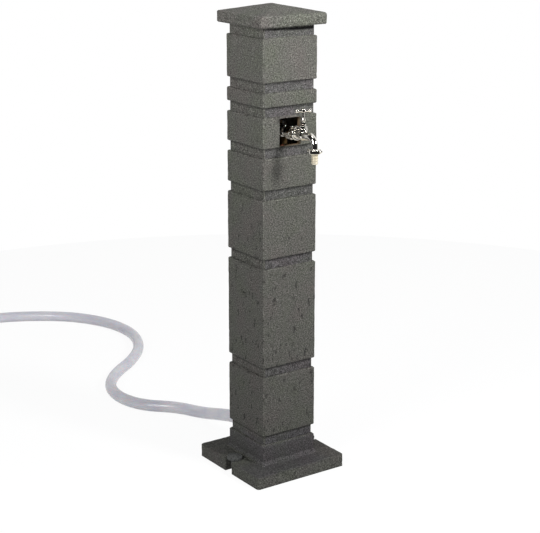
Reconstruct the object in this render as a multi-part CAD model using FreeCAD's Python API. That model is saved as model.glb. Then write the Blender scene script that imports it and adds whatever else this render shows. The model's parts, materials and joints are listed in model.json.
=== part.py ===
import FreeCAD, Part
import math
import os
from FreeCAD import Vector

# Garden water column: a hollow cast-stone post with a tap in its front face, fed by a hose
# from behind. Millimetres, +Z up, the tap faces -Y. The origin is on the ground, at the
# middle of the post.

# Post
post_width = 130.0
groove_depth = 4.5
groove_height = 20.0
groove_wall = 8.0
block_heights = (129.0, 210.0, 121.0, 64.0, 61.0, 28.0, 86.0)
block_edge_round = 3.0
neck_height = 19.5

# Base
plate_width = 220.0
plate_thickness = 27.0
plate_corner_round = 6.0
plate_edge_bevel = 1.5
plinth_height = 43.0
plinth_edge_bevel = 2.5
plinth_foot_rise = 9.0
plinth_foot_spread = 6.0
spigot_height = 30.0
spigot_wall = 6.0
spigot_clearance = 0.5

# Cap
cap_width = 158.0
cap_corner_round = 5.0
cap_fascia = 22.5
cap_edge_bevel = 2.0
cap_rise = 15.5
cap_tip_width = 8.0
cap_gap = 2.5
cap_skirt_depth = 30.0
cap_skirt_wall = 4.0
cap_skirt_clearance = 0.5
cap_pocket_depth = 12.0
pad_length = 14.0
pad_setback = 2.0

# Opening in the front face, in the third block from the top
opening_width = 52.0
opening_height = 56.5
opening_sill = 1.6
opening_corner_round = 2.0

# Ground fixing: an open slot each side of the base, and a fluted hand knob over it
slot_width = 24.0
slot_depth = 16.0
slot_offset = 0.0
knob_diameter = 32.0
knob_height = 8.0
knob_flutes = 16
flute_radius = 1.8
knob_sleeve_diameter = 16.0
knob_sleeve_length = 19.0
knob_top_recess = 1.5
knob_rim = 4.0
knob_lift = 0.1
anchor_bore_diameter = 8.5
anchor_bore_depth = 22.0

# Water pipe inside the post
pipe_diameter = 15.0
pipe_wall = 1.0
pipe_clearance = 0.1
fitting_diameter = 20.0
fitting_bore = 11.0
fitting_leg = 20.0
pipe_insertion = 9.0
nut_across_flats = 24.0
nut_length = 14.0
nut_cover = 6.0
riser_setback = 33.0

# Wall plate elbow and the steel bar that carries it
bar_height = 62.0
bar_thickness = 3.0
bar_tab = 22.0
elbow_seat = 20.0
plate_flange_thickness = 4.0
ear_circle_radius = 24.0
ear_radius = 6.5
elbow_boss_diameter = 24.0
elbow_boss_reach = 12.0
elbow_flange_diameter = 30.0
screw_diameter = 4.0
screw_head_diameter = 8.0
screw_head_height = 3.0
screw_grip = 12.0

# Tap: extension and inlet union, distances outwards from the post's front face
thread_diameter = 20.9
thread_clearance = 0.1
extension_diameter = 24.0
extension_end = -12.0
extension_thread = 14.0
water_bore = 10.0
union_washer = 1.5
union_flange_diameter = 19.0
union_flange = 2.5
union_neck_diameter = 16.0
union_nut_across_flats = 26.0
union_nut_start = -6.0
union_nut_end = 13.5
collar_start = 19.0
collar_length = 6.0
collar_diameter = 27.0

# Tap body
valve_reach = 43.0
spout_reach = 81.0
barrel_diameter = 18.0
chest_radius = 10.2
chest_neck_diameter = 15.6
chest_top = 12.5
chamber_diameter = 12.0
seat_height = 2.2
seat_land = 1.3
port_diameter = 6.4
port_depth = 3.6
inlet_bore = 6.0
inlet_bore_drop = 2.6
outlet_duct = 5.2
chest_wall = 4.0
spout_start_diameter = 15.5
spout_end_diameter = 12.4
spout_neck = 3.7
spout_bend = 18.0
spout_bore = 8.6
spout_thread_length = 4.0

# Headwork
valve_open = 1.5
washer_diameter = 9.5
washer_thickness = 2.2
washer_nut_diameter = 5.0
washer_nut_height = 2.0
jumper_thickness = 1.6
jumper_stem_diameter = 2.4
jumper_stem_length = 8.0
jumper_screw_diameter = 2.0
spindle_gap = 0.8
spindle_thread_diameter = 6.5
spindle_thread_length = 8.0
spindle_diameter = 4.5
running_clearance = 0.05
valve_travel_room = 0.8
bonnet_skirt = 3.0
bonnet_hex_across_flats = 13.5
bonnet_hex_height = 6.0
bonnet_boss_diameter = 9.6
packing_diameter = 6.9
packing_height = 2.0
gland_sleeve = 1.3
gland_across_flats = 8.4
gland_hex_height = 4.0
gland_groove_diameter = 7.0
gland_groove = 2.0
gland_collar_diameter = 8.6
gland_collar = 3.0
gland_tip_diameter = 6.0
gland_tip = 3.0

# Handle
handle_height = 48.0
handle_length = 34.5
handle_bar_diameter = 5.4
handle_ball_diameter = 7.6
handle_hub_diameter = 7.4
handle_hub_height = 6.6
handle_square = 3.1
handle_square_length = 4.6
handle_angle = -16.0
handle_screw_diameter = 2.0
handle_screw_depth = 3.2
handle_screw_head = 4.6
handle_screw_head_height = 1.0

# Outlet nut and hose tail, distances down from the spout's thread end
outlet_washer = 1.5
tail_flange_diameter = 20.0
tail_flange = 1.5
outlet_nut_diameter = 25.0
outlet_nut_cover = 3.5
outlet_nut_lip = 1.5
outlet_ear_reach = 16.5
outlet_ear_radius = 2.8
outlet_ear_drop = 3.0
outlet_ear_angle = 65.0
tail_neck_diameter = 13.4
tail_neck_clearance = 0.35
tail_groove_diameter = 10.0
tail_groove = 1.4
tail_crest_diameter = 13.4
tail_root_diameter = 11.4
tail_rib_pitch = 4.8
tail_ribs = 4
tail_bore = 8.5

# Hose inlet at the back of the base
inlet_height = 56.0
inlet_flange_across_flats = 26.0
inlet_flange = 6.0
inlet_washer_diameter = 29.0
inlet_washer_thickness = 2.0
inlet_hole_clearance = 0.3
inlet_pipe_run = 37.0
barb_length = 26.0
barb_root_diameter = 18.0
barb_crest_diameter = 19.4
barb_ribs = 5
locknut_across_flats = 28.0
locknut_length = 7.0

# Hose and its clamp
hose_diameter = 27.0
clamp_band = 1.2
clamp_width = 12.0
clamp_position = 13.0
clamp_housing_width = 13.0
clamp_housing_wall = 1.0
clamp_screw_diameter = 7.0
clamp_screw_length = 17.0
clamp_screw_head = 6.0
clamp_screw_slit = 2.0
clamp_screw_slit_width = 1.0

# Far end of the hose
ferrule_length = 20.0
ferrule_crimp = 1.2
ferrule_crimp_width = 4.0
nipple_insertion = 8.0
nipple_across_flats = 23.0
nipple_hex_length = 8.0
nipple_thread_diameter = 26.4
nipple_thread_length = 14.0
nipple_bore = 16.0

# Coil of the hose's unused length, wound inwards
coil_radius = 143.0
coil_gap = 1.0
coil_tail_radius = 108.0
coil_lead = 15.0

# Places worked out from the sizes above
half_post = post_width / 2
core_width = post_width - 2 * groove_depth
cavity_width = core_width - 2 * groove_wall
half_cavity = cavity_width / 2
plinth_top = plate_thickness + plinth_height
post_bottom = plinth_top + groove_height
block_bottoms = [post_bottom + sum(block_heights[:i]) + i * groove_height
                 for i in range(len(block_heights))]
post_shoulder = block_bottoms[-1] + block_heights[-1]
post_top = post_shoulder + neck_height
cap_bottom = post_top + cap_gap
spigot_width = cavity_width - 2 * spigot_clearance
base_hole_width = spigot_width - 2 * spigot_wall
opening_bottom = block_bottoms[-3] + opening_sill
tap_height = opening_bottom + opening_height / 2
front = -half_post
riser_y = front + riser_setback
valve_y = front - valve_reach
spout_y = front - spout_reach
seat_z = tap_height + seat_height
chest_top_z = tap_height + chest_top
spout_end_z = tap_height - spout_bend - spout_neck - spout_thread_length
slot_centre_x = plate_width / 2 - slot_depth
inlet_seat_y = half_post + inlet_washer_thickness
barb_start_y = inlet_seat_y + inlet_flange
inlet_shank_length = half_post - riser_y - fitting_leg - inlet_pipe_run
knob_places = {"left": -slot_centre_x, "right": slot_centre_x}

UP = Vector(0, 0, 1)
DOWN = Vector(0, 0, -1)
OUT = Vector(0, -1, 0)
BACK = Vector(0, 1, 0)
SIDE = Vector(1, 0, 0)


def box(x, y, z):
    """A box from three (low, high) pairs."""
    return Part.makeBox(x[1] - x[0], y[1] - y[0], z[1] - z[0], Vector(x[0], y[0], z[0]))


def place(shape, origin, direction, turn=0.0):
    """Carries a shape made along +Z at the origin to its place and direction."""
    spin = FreeCAD.Rotation(UP, turn)
    aim = FreeCAD.Rotation(UP, direction)
    moved = shape.copy()
    moved.Placement = FreeCAD.Placement(origin, aim.multiply(spin))
    return moved


def turned(profile, origin, direction):
    """A turned piece: (radius, distance) points round the axis from origin along direction."""
    points = [Vector(r, 0, h) for r, h in profile]
    face = Part.Face(Part.makePolygon(points + points[:1]))
    return place(face.revolve(Vector(0, 0, 0), UP, 360), origin, direction)


def rod(diameter, start, end, origin, direction):
    """A plain round bar between two distances along an axis."""
    bar = Part.makeCylinder(diameter / 2, end - start, Vector(0, 0, start))
    return place(bar, origin, direction)


def tube(outer, inner, start, end, origin, direction):
    """A plain ring or tube between two distances along an axis."""
    return rod(outer, start, end, origin, direction).cut(
        rod(inner, start, end, origin, direction))


def hex_bar(across_flats, start, end, origin, direction, turn=0.0, bevel=0.8):
    """A hexagon bar with its corners turned off at both ends."""
    corner = across_flats / math.sqrt(3)
    ring = [Vector(corner * math.cos(math.radians(60 * i)),
                   corner * math.sin(math.radians(60 * i)), start) for i in range(6)]
    prism = Part.Face(Part.makePolygon(ring + ring[:1])).extrude(Vector(0, 0, end - start))
    inner = corner - bevel
    drum = [(0, start), (inner, start), (corner, start + bevel * 0.6),
            (corner, end - bevel * 0.6), (inner, end), (0, end)]
    lathe = turned(drum, Vector(0, 0, 0), UP)
    return place(prism.common(lathe), origin, direction, turn)


def rounded_square(width, radius, z):
    """A square wire with round corners, centred on the post's axis."""
    half = width / 2
    flat = half - radius
    mid = flat + radius * math.sqrt(0.5)
    edges = []
    for quarter in range(4):
        a = math.radians(90 * quarter)
        c, s = math.cos(a), math.sin(a)

        def at(x, y):
            return Vector(x * c - y * s, x * s + y * c, z)

        edges.append(Part.makeLine(at(half, -flat), at(half, flat)))
        edges.append(Part.Arc(at(half, flat), at(mid, mid), at(flat, half)).toShape())
    return Part.Wire(edges)


def stack(levels):
    """A solid through round-cornered squares: (width, corner radius, height) from below."""
    wires = [rounded_square(*level) for level in levels]
    return Part.makeLoft(wires, True, True)


def softened_block(width, bottom, top):
    """A square block with all its edges rounded."""
    half = width / 2
    block = box((-half, half), (-half, half), (bottom, top))
    return block.makeFillet(block_edge_round, block.Edges)


def square_hole(width, bottom, top):
    half = width / 2
    return box((-half, half), (-half, half), (bottom, top))


def fuse(first, *others):
    return first.multiFuse(list(others)).removeSplitter()


def group(*solids):
    return Part.makeCompound(list(solids))


def make_base():
    """Flat plate, the plinth on it and the neck that the post stands on, with its spigot."""
    bevel = plate_edge_bevel
    corner = block_edge_round
    plate = stack([
        (plate_width, plate_corner_round, 0),
        (plate_width, plate_corner_round, plate_thickness - bevel),
        (plate_width - 2 * bevel, plate_corner_round - bevel, plate_thickness),
    ])
    foot_width = post_width + 2 * plinth_foot_spread
    plinth = stack([
        (foot_width, corner, plate_thickness - bevel),
        (foot_width, corner, plate_thickness),
        (post_width, corner, plate_thickness + plinth_foot_rise),
        (post_width, corner, plinth_top - plinth_edge_bevel),
        (post_width - 2 * plinth_edge_bevel, corner, plinth_top),
    ])
    neck = stack([(core_width, corner, plinth_top - 1), (core_width, corner, post_bottom)])
    spigot = square_hole(spigot_width, post_bottom - 1, post_bottom + spigot_height)
    body = fuse(plate, plinth, neck, spigot)
    body = body.cut(square_hole(base_hole_width, -1, post_bottom + spigot_height + 1))

    reach = plate_width / 2 + 1
    for x in knob_places.values():
        side = math.copysign(1, x)
        centre = Vector(x, slot_offset, 0)
        span = sorted((x, side * reach))
        half_slot = slot_width / 2
        slot = rod(slot_width, -1, plate_thickness + 1, centre, UP).fuse(
            box(span, (slot_offset - half_slot, slot_offset + half_slot),
                (-1, plate_thickness + 1)))
        body = body.cut(slot)

    body = body.cut(rod(thread_diameter + 2 * inlet_hole_clearance, 0, half_post,
                        Vector(0, half_post + 1, inlet_height), OUT))
    for direction, hole in spigot_screw_places():
        body = body.cut(rod(screw_diameter, 0, half_post, hole, direction))
    return body.removeSplitter()


def spigot_screw_places():
    """Where the four screws go outwards through the spigot: (direction, inner face point)."""
    height = post_bottom + spigot_height / 2
    inner = base_hole_width / 2
    return [(d, Vector(d.x * inner, d.y * inner, height)) for d in (SIDE, -SIDE, OUT, BACK)]


def make_post():
    """Seven rounded blocks on a narrower core, hollow all the way up."""
    corner = block_edge_round
    core = stack([(core_width, corner, post_bottom), (core_width, corner, post_top)])
    blocks = [softened_block(post_width, bottom, bottom + height)
              for bottom, height in zip(block_bottoms, block_heights)]
    body = fuse(core, *blocks)
    body = body.cut(square_hole(cavity_width, post_bottom - 1, post_top + 1))
    half = opening_width / 2
    opening = box((-half, half), (front - 1, 0), (opening_bottom, opening_bottom + opening_height))
    depth_edges = [e for e in opening.Edges if abs(e.BoundBox.YLength - (1 - front)) < 1e-6]
    body = body.cut(opening.makeFillet(opening_corner_round, depth_edges))
    for direction, hole in spigot_screw_places():
        body = body.cut(rod(screw_diameter, spigot_wall, screw_grip + 1, hole, direction))
    for point, direction in bar_screw_places():
        body = body.cut(rod(screw_diameter, bar_thickness, screw_grip, point, direction))
    return body.removeSplitter()


def wood_screw(point, direction, length):
    """A pan-head screw whose head seats at the point and whose shank runs along direction."""
    r = screw_diameter / 2
    head = screw_head_diameter / 2
    profile = [(0, -screw_head_height), (head * 0.7, -screw_head_height),
               (head, -screw_head_height * 0.5), (head, 0), (r, 0), (r, length - r),
               (0, length)]
    screw = turned(profile, point, direction)
    slit = box((-screw_diameter * 0.1, screw_diameter * 0.1), (-head, head),
               (-screw_head_height - 1, -screw_head_height * 0.55))
    return screw.cut(place(slit, point, direction))


def make_cap():
    """Slab with a low pyramid on top, hollowed below, with a skirt that drops into the post."""
    bevel = cap_edge_bevel
    corner = cap_corner_round
    fascia_top = cap_bottom + cap_fascia
    outside = stack([
        (cap_width - 2 * bevel, corner - bevel, cap_bottom),
        (cap_width, corner, cap_bottom + bevel),
        (cap_width, corner, fascia_top - bevel),
        (cap_width - 2 * bevel, corner - bevel, fascia_top),
        (cap_tip_width, corner - bevel, fascia_top + cap_rise),
    ])
    skirt_width = cavity_width - 2 * cap_skirt_clearance
    skirt = square_hole(skirt_width, cap_bottom - cap_skirt_depth - cap_gap, cap_bottom + 1)
    hollow = square_hole(skirt_width - 2 * cap_skirt_wall,
                         cap_bottom - cap_skirt_depth - cap_gap - 1,
                         cap_bottom + cap_pocket_depth)
    return fuse(outside, skirt).cut(hollow)


def make_cap_pads():
    """Rubber pads on the neck's rim, one in each side's middle, which carry the cap."""
    inner = half_cavity + pad_setback
    outer = core_width / 2 - pad_setback
    pads = []
    for quarter in range(4):
        pad = box((-pad_length / 2, pad_length / 2), (inner, outer), (post_top, cap_bottom))
        pad.rotate(Vector(0, 0, 0), UP, 90 * quarter)
        pads.append(pad)
    return group(*pads)


def compression_nut(centre, direction):
    """Hexagon nut over the end of a compression leg, closing on the pipe."""
    start = fitting_leg - nut_cover
    end = start + nut_length
    thread = fitting_diameter + 2 * thread_clearance
    nut = hex_bar(nut_across_flats, start, end, centre, direction)
    nut = nut.cut(rod(thread, start - 1, fitting_leg + 1, centre, direction))
    return nut.cut(rod(pipe_diameter + 2 * pipe_clearance, start, end + 1, centre, direction))


def upper_elbow_centre():
    return Vector(0, riser_y, tap_height)


def lower_elbow_centre():
    return Vector(0, riser_y, inlet_height)


def inlet_socket_centre():
    """Where the inlet's own compression leg starts, inside the post."""
    return Vector(0, barb_start_y - inlet_flange - inlet_washer_thickness - inlet_shank_length,
                  inlet_height)


def elbow_ear_places():
    seat = upper_elbow_centre() + BACK * elbow_seat
    return [seat + Vector(ear_circle_radius * math.cos(math.radians(a)), 0,
                          ear_circle_radius * math.sin(math.radians(a)))
            for a in (30, 150, 270)]


def make_wall_plate_elbow():
    """Brass elbow on a flange with three ears: pipe leg down, threaded boss forwards."""
    centre = upper_elbow_centre()
    flange = rod(elbow_flange_diameter, elbow_seat - plate_flange_thickness, elbow_seat,
                 centre, BACK)
    ears = [rod(2 * ear_radius, 0, plate_flange_thickness, ear, OUT)
            for ear in elbow_ear_places()]
    webs = []
    for ear in elbow_ear_places():
        radial = (ear - centre - BACK * elbow_seat)
        web = box((-ear_radius, ear_radius), (-plate_flange_thickness, 0), (0, radial.Length))
        turn = FreeCAD.Rotation(UP, radial)
        web.Placement = FreeCAD.Placement(centre + BACK * elbow_seat, turn)
        webs.append(web)
    spine = rod(fitting_diameter, -elbow_boss_reach, elbow_seat, centre, BACK)
    boss = rod(elbow_boss_diameter, 0, elbow_boss_reach, centre, OUT)
    leg = rod(fitting_diameter, 0, fitting_leg, centre, DOWN)
    body = fuse(flange, *ears, *webs, spine, boss, leg)
    body = body.cut(rod(fitting_bore, 0, fitting_leg, centre, DOWN))
    body = body.cut(rod(pipe_diameter + 2 * pipe_clearance, fitting_leg - pipe_insertion,
                        fitting_leg + 1, centre, DOWN))
    body = body.cut(rod(fitting_bore, 0, elbow_boss_reach + 1, centre, OUT))
    thread = thread_diameter + 2 * thread_clearance
    body = body.cut(rod(thread, elbow_boss_reach - extension_thread, elbow_boss_reach + 1,
                        centre, OUT))
    for ear in elbow_ear_places():
        body = body.cut(rod(screw_diameter + 0.4, -1, plate_flange_thickness + 1, ear, OUT))
    return body.removeSplitter()


def bar_front_y():
    return riser_y + elbow_seat


def bar_screw_places():
    """Four screws through the bar's two end tabs into the post's sides."""
    y = bar_front_y() + bar_tab / 2 + bar_thickness / 2
    places = []
    for side in (1, -1):
        for lift in (-1, 1):
            z = tap_height + lift * (bar_height / 2 - ear_radius)
            x = side * (half_cavity - bar_thickness)
            places.append((Vector(x, y, z), Vector(side, 0, 0)))
    return places


def make_mounting_bar():
    """Folded steel bar across the hollow post, screwed to its sides."""
    y = bar_front_y()
    z = (tap_height - bar_height / 2, tap_height + bar_height / 2)
    web = box((-half_cavity, half_cavity), (y, y + bar_thickness), z)
    tabs = [box(sorted((side * half_cavity, side * (half_cavity - bar_thickness))),
                (y, y + bar_tab), z) for side in (1, -1)]
    body = fuse(web, *tabs)
    for ear in elbow_ear_places():
        body = body.cut(rod(screw_diameter, -1, bar_thickness + 1, ear, BACK))
    for point, direction in bar_screw_places():
        body = body.cut(rod(screw_diameter + 0.4, -1, bar_thickness + 1, point, direction))
    return body


def make_lower_elbow():
    centre = lower_elbow_centre()
    body = fuse(rod(fitting_diameter, 0, fitting_leg, centre, UP),
                rod(fitting_diameter, 0, fitting_leg, centre, BACK),
                Part.makeSphere(fitting_diameter / 2, centre))
    for direction in (UP, BACK):
        body = body.cut(rod(fitting_bore, 0, fitting_leg, centre, direction))
        body = body.cut(rod(pipe_diameter + 2 * pipe_clearance, fitting_leg - pipe_insertion,
                            fitting_leg + 1, centre, direction))
    return body


def make_riser_pipe():
    start = fitting_leg - pipe_insertion
    end = tap_height - inlet_height - start
    return tube(pipe_diameter, pipe_diameter - 2 * pipe_wall, start, end,
                lower_elbow_centre(), UP)


def make_inlet_pipe():
    start = fitting_leg - pipe_insertion
    end = inlet_socket_centre().y - riser_y - start
    return tube(pipe_diameter, pipe_diameter - 2 * pipe_wall, start, end,
                lower_elbow_centre(), BACK)


def make_compression_nuts():
    return group(compression_nut(upper_elbow_centre(), DOWN),
                 compression_nut(lower_elbow_centre(), UP),
                 compression_nut(lower_elbow_centre(), BACK),
                 compression_nut(inlet_socket_centre(), OUT))


def ribbed_profile(start, pitch, ribs, root, crest):
    """Outline of a hose barb: saw-tooth ribs that point back from the free end."""
    points = []
    for i in range(ribs):
        low = start + i * pitch
        points += [(root / 2, low), (crest / 2, low + pitch * 0.25), (root / 2, low + pitch)]
    return points


def make_hose_inlet():
    """Brass bulkhead fitting: barb outside, hexagon flange, shank through the wall."""
    origin = Vector(0, inlet_seat_y, inlet_height)
    barb = ribbed_profile(inlet_flange, barb_length / barb_ribs, barb_ribs,
                          barb_root_diameter, barb_crest_diameter)
    barb_end = inlet_flange + barb_length
    outside = turned([(0, inlet_flange - 1), (barb_root_diameter / 2, inlet_flange - 1)]
                     + barb + [(0, barb_end)], origin, BACK)
    flange = hex_bar(inlet_flange_across_flats, 0, inlet_flange, origin, BACK, turn=30)
    shank_end = inlet_washer_thickness + inlet_shank_length
    shank = rod(thread_diameter, 0, shank_end, origin, OUT)
    leg = rod(fitting_diameter, 0, fitting_leg, inlet_socket_centre(), OUT)
    body = fuse(outside, flange, shank, leg)
    body = body.cut(rod(fitting_bore, -barb_end - 1, shank_end + fitting_leg, origin, OUT))
    socket = rod(pipe_diameter + 2 * pipe_clearance, fitting_leg - pipe_insertion,
                 fitting_leg + 1, inlet_socket_centre(), OUT)
    return body.cut(socket)


def make_inlet_washer():
    return tube(inlet_washer_diameter, thread_diameter + 2 * inlet_hole_clearance, 0,
                inlet_washer_thickness, Vector(0, half_post, inlet_height), BACK)


def make_inlet_locknut():
    inner_face = Vector(0, base_hole_width / 2, inlet_height)
    nut = hex_bar(locknut_across_flats, 0, locknut_length, inner_face, OUT)
    return nut.cut(rod(thread_diameter + 2 * thread_clearance, -1, locknut_length + 1,
                       inner_face, OUT))


def clamp_centre():
    return Vector(0, barb_start_y + clamp_position, inlet_height)


def make_hose_clamp():
    """Steel band round the hose, with the housing of its worm screw on top."""
    inner = hose_diameter
    outer = hose_diameter + 2 * clamp_band
    half = clamp_width / 2
    band = tube(outer, inner, -half, half, clamp_centre(), BACK)
    y = clamp_centre().y
    tunnel = clamp_screw_room()
    housing = box((-clamp_housing_width / 2, clamp_housing_width / 2), (y - half, y + half),
                  (clamp_centre().z, clamp_screw_centre().z + tunnel + clamp_housing_wall))
    housing = housing.cut(rod(outer - clamp_band, -half - 1, half + 1, clamp_centre(), BACK))
    body = fuse(band, housing)
    return body.cut(rod(2 * tunnel, -clamp_screw_length, clamp_screw_length,
                        clamp_screw_centre(), SIDE))


def clamp_screw_room():
    """Radius of the housing's tunnel, which the screw's hexagon head turns in."""
    return clamp_screw_diameter / math.sqrt(3) + thread_clearance


def clamp_screw_centre():
    return clamp_centre() + UP * (hose_diameter / 2 + clamp_band + clamp_screw_room())


def make_clamp_screw():
    centre = clamp_screw_centre()
    half = clamp_screw_length / 2
    head_end = clamp_screw_head - half
    shank = rod(clamp_screw_diameter - 1, head_end - 1, half, centre, SIDE)
    head = hex_bar(clamp_screw_diameter, -half, head_end, centre, SIDE)
    screw = fuse(shank, head)
    slit = box((-half - 1, clamp_screw_slit - half), (-clamp_screw_diameter, clamp_screw_diameter),
               (-clamp_screw_slit_width / 2, clamp_screw_slit_width / 2))
    slit.translate(centre)
    return screw.cut(slit)


def tap_axis():
    """Point on the tap's axis at the post's front face; distances run outwards from it."""
    return Vector(0, front, tap_height)


def make_tap_extension():
    """Nickelled barrel between the wall plate elbow and the tap's union nut."""
    rear = elbow_boss_reach - riser_setback
    thread = thread_diameter / 2
    body = extension_diameter / 2
    bore = water_bore / 2
    nose = extension_end + extension_thread
    profile = [(bore, rear - extension_thread + 1), (thread, rear - extension_thread + 1),
               (thread, rear), (body, rear), (body, extension_end - 1),
               (body - 1, extension_end), (thread, extension_end), (thread, nose), (bore, nose)]
    return turned(profile, tap_axis(), OUT)


def union_face():
    """Distance of the fibre washer from the post's front face."""
    return extension_end + extension_thread


def make_union_washer():
    start = union_face()
    return tube(union_flange_diameter, water_bore, start, start + union_washer, tap_axis(), OUT)


def make_union_nut():
    thread = thread_diameter + 2 * thread_clearance
    flange_front = union_face() + union_washer + union_flange
    nut = hex_bar(union_nut_across_flats, union_nut_start, union_nut_end, tap_axis(), OUT)
    nut = nut.cut(rod(thread, union_nut_start - 1, flange_front, tap_axis(), OUT))
    neck = union_neck_diameter + 2 * tail_neck_clearance
    return nut.cut(rod(neck, flange_front - 1, union_nut_end + 1, tap_axis(), OUT))


def make_tap_body():
    """Cast body: union tail, collar, valve chest with its seat, and the bent spout."""
    axis = tap_axis()
    chest = Vector(0, valve_y, tap_height)
    tail_start = union_face() + union_washer
    flange = rod(union_flange_diameter, tail_start, tail_start + union_flange, axis, OUT)
    neck = rod(union_neck_diameter, tail_start, collar_start + 1, axis, OUT)
    collar = turned([(0, collar_start), (collar_diameter / 2 - 1, collar_start),
                     (collar_diameter / 2, collar_start + 1),
                     (collar_diameter / 2, collar_start + collar_length - 1),
                     (collar_diameter / 2 - 1, collar_start + collar_length),
                     (0, collar_start + collar_length)], axis, OUT)
    run = spout_reach - spout_bend
    barrel = rod(barrel_diameter, collar_start, valve_reach, axis, OUT)
    taper = turned([(0, valve_reach), (barrel_diameter / 2, valve_reach),
                    (spout_start_diameter / 2, run), (0, run)], axis, OUT)
    ball = Part.makeSphere(chest_radius, chest)
    chest_neck = rod(chest_neck_diameter, 0, chest_top, chest, UP)
    bend = spout_elbow(spout_start_diameter, spout_end_diameter)
    bend_end = Vector(0, spout_y, tap_height - spout_bend)
    spout_end = spout_neck + spout_thread_length
    straight = rod(spout_end_diameter, 0, spout_neck + 1, bend_end, DOWN)
    thread = rod(thread_diameter, spout_neck, spout_end, bend_end, DOWN)
    body = fuse(flange, neck, collar, barrel, taper, ball, chest_neck, bend, straight, thread)

    low = axis - UP * inlet_bore_drop
    body = body.cut(rod(water_bore, tail_start - 1, collar_start, axis, OUT))
    body = body.cut(rod(inlet_bore, collar_start - 2, valve_reach + inlet_bore / 2, low, OUT))
    body = body.cut(rod(port_diameter, -port_depth, seat_height + 1, chest, UP))
    body = body.cut(rod(chamber_diameter, seat_height, chest_top + 1, chest, UP))
    outlet_start = valve_reach + inlet_bore / 2 + chest_wall
    body = body.cut(rod(spout_bore, outlet_start, run, axis, OUT))
    duct_start = port_diameter / 2 + seat_land + outlet_duct / 4
    start = chest + UP * (seat_height + outlet_duct / 2) + OUT * duct_start
    duct = axis + OUT * (outlet_start + outlet_duct / 2) - start
    body = body.cut(rod(outlet_duct, 0, duct.Length, start, duct))
    body = body.cut(spout_elbow(spout_bore, spout_bore))
    return body.cut(rod(spout_bore, 0, spout_end + 1, bend_end, DOWN))


def spout_elbow(start_diameter, end_diameter):
    """A quarter bend from the tap's axis down to the outlet, round all the way."""
    first = Vector(0, spout_y + spout_bend, tap_height)
    last = Vector(0, spout_y, tap_height - spout_bend)
    centre = Vector(0, first.y, last.z)
    middle = centre + (OUT + UP) * (spout_bend * math.sqrt(0.5))
    path = Part.Wire(Part.Arc(first, middle, last).toShape())
    if start_diameter == end_diameter:
        section = Part.Face(Part.Wire(Part.makeCircle(start_diameter / 2, first, OUT)))
        return section.revolve(centre, SIDE, 90)
    sections = [Part.Wire(Part.makeCircle(start_diameter / 2, first, OUT)),
                Part.Wire(Part.makeCircle(end_diameter / 2, last, DOWN))]
    return path.makePipeShell(sections, True, False)


def valve_axis(height=0.0):
    return Vector(0, valve_y, height)


def washer_bottom():
    return seat_z + valve_open


def jumper_bottom():
    return washer_bottom() + washer_thickness


def jumper_top():
    return jumper_bottom() + jumper_thickness


def make_valve_washer():
    low = washer_bottom()
    return tube(washer_diameter, jumper_screw_diameter, low, low + washer_thickness,
                valve_axis(), UP)


def make_jumper():
    """Disc that backs the washer, with a stem that turns freely in the spindle."""
    disc = washer_diameter / 2
    stem = jumper_stem_diameter / 2
    stub = jumper_screw_diameter / 2
    top = jumper_top()
    profile = [(0, washer_bottom() - washer_nut_height), (stub, washer_bottom() - washer_nut_height),
               (stub, jumper_bottom()), (disc, jumper_bottom()), (disc, top), (stem, top),
               (stem, top + jumper_stem_length), (0, top + jumper_stem_length)]
    return turned(profile, valve_axis(), UP)


def make_washer_nut():
    low = washer_bottom() - washer_nut_height
    nut = hex_bar(washer_nut_diameter * math.sqrt(3) / 2, low, washer_bottom(), valve_axis(), UP,
                  bevel=0.3)
    return nut.cut(rod(jumper_screw_diameter, low - 1, washer_bottom() + 1, valve_axis(), UP))


def spindle_bottom():
    return jumper_top() + spindle_gap


def spindle_shoulder():
    return spindle_bottom() + spindle_thread_length


def bonnet_bottom():
    return chest_top_z - bonnet_skirt


def gland_floor():
    """Bottom of the packing box in the headwork."""
    return spindle_shoulder() + valve_open + valve_travel_room


def bonnet_top():
    return gland_floor() + packing_height + gland_sleeve


def handle_centre_z():
    return tap_height + handle_height


def make_spindle():
    """Threaded spindle: blind bore below for the jumper, square above for the handle."""
    r = spindle_diameter / 2
    thread = spindle_thread_diameter / 2
    square_start = handle_centre_z() - handle_hub_height / 2
    profile = [(0, spindle_bottom()), (thread, spindle_bottom()), (thread, spindle_shoulder()),
               (r, spindle_shoulder()), (r, square_start), (0, square_start)]
    body = turned(profile, valve_axis(), UP)
    half = handle_square / 2
    square = box((-half, half), (-half, half), (square_start - 1,
                                                square_start + handle_square_length))
    square.translate(valve_axis())
    square.rotate(valve_axis(), UP, handle_angle)
    body = fuse(body, square)
    bore = jumper_stem_diameter + 2 * running_clearance
    body = body.cut(rod(bore, spindle_bottom() - 1, jumper_top() + jumper_stem_length + 1,
                        valve_axis(), UP))
    tip = square_start + handle_square_length - handle_screw_depth
    return body.cut(rod(handle_screw_diameter, tip, tip + handle_screw_depth + 1, valve_axis(), UP))


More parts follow.
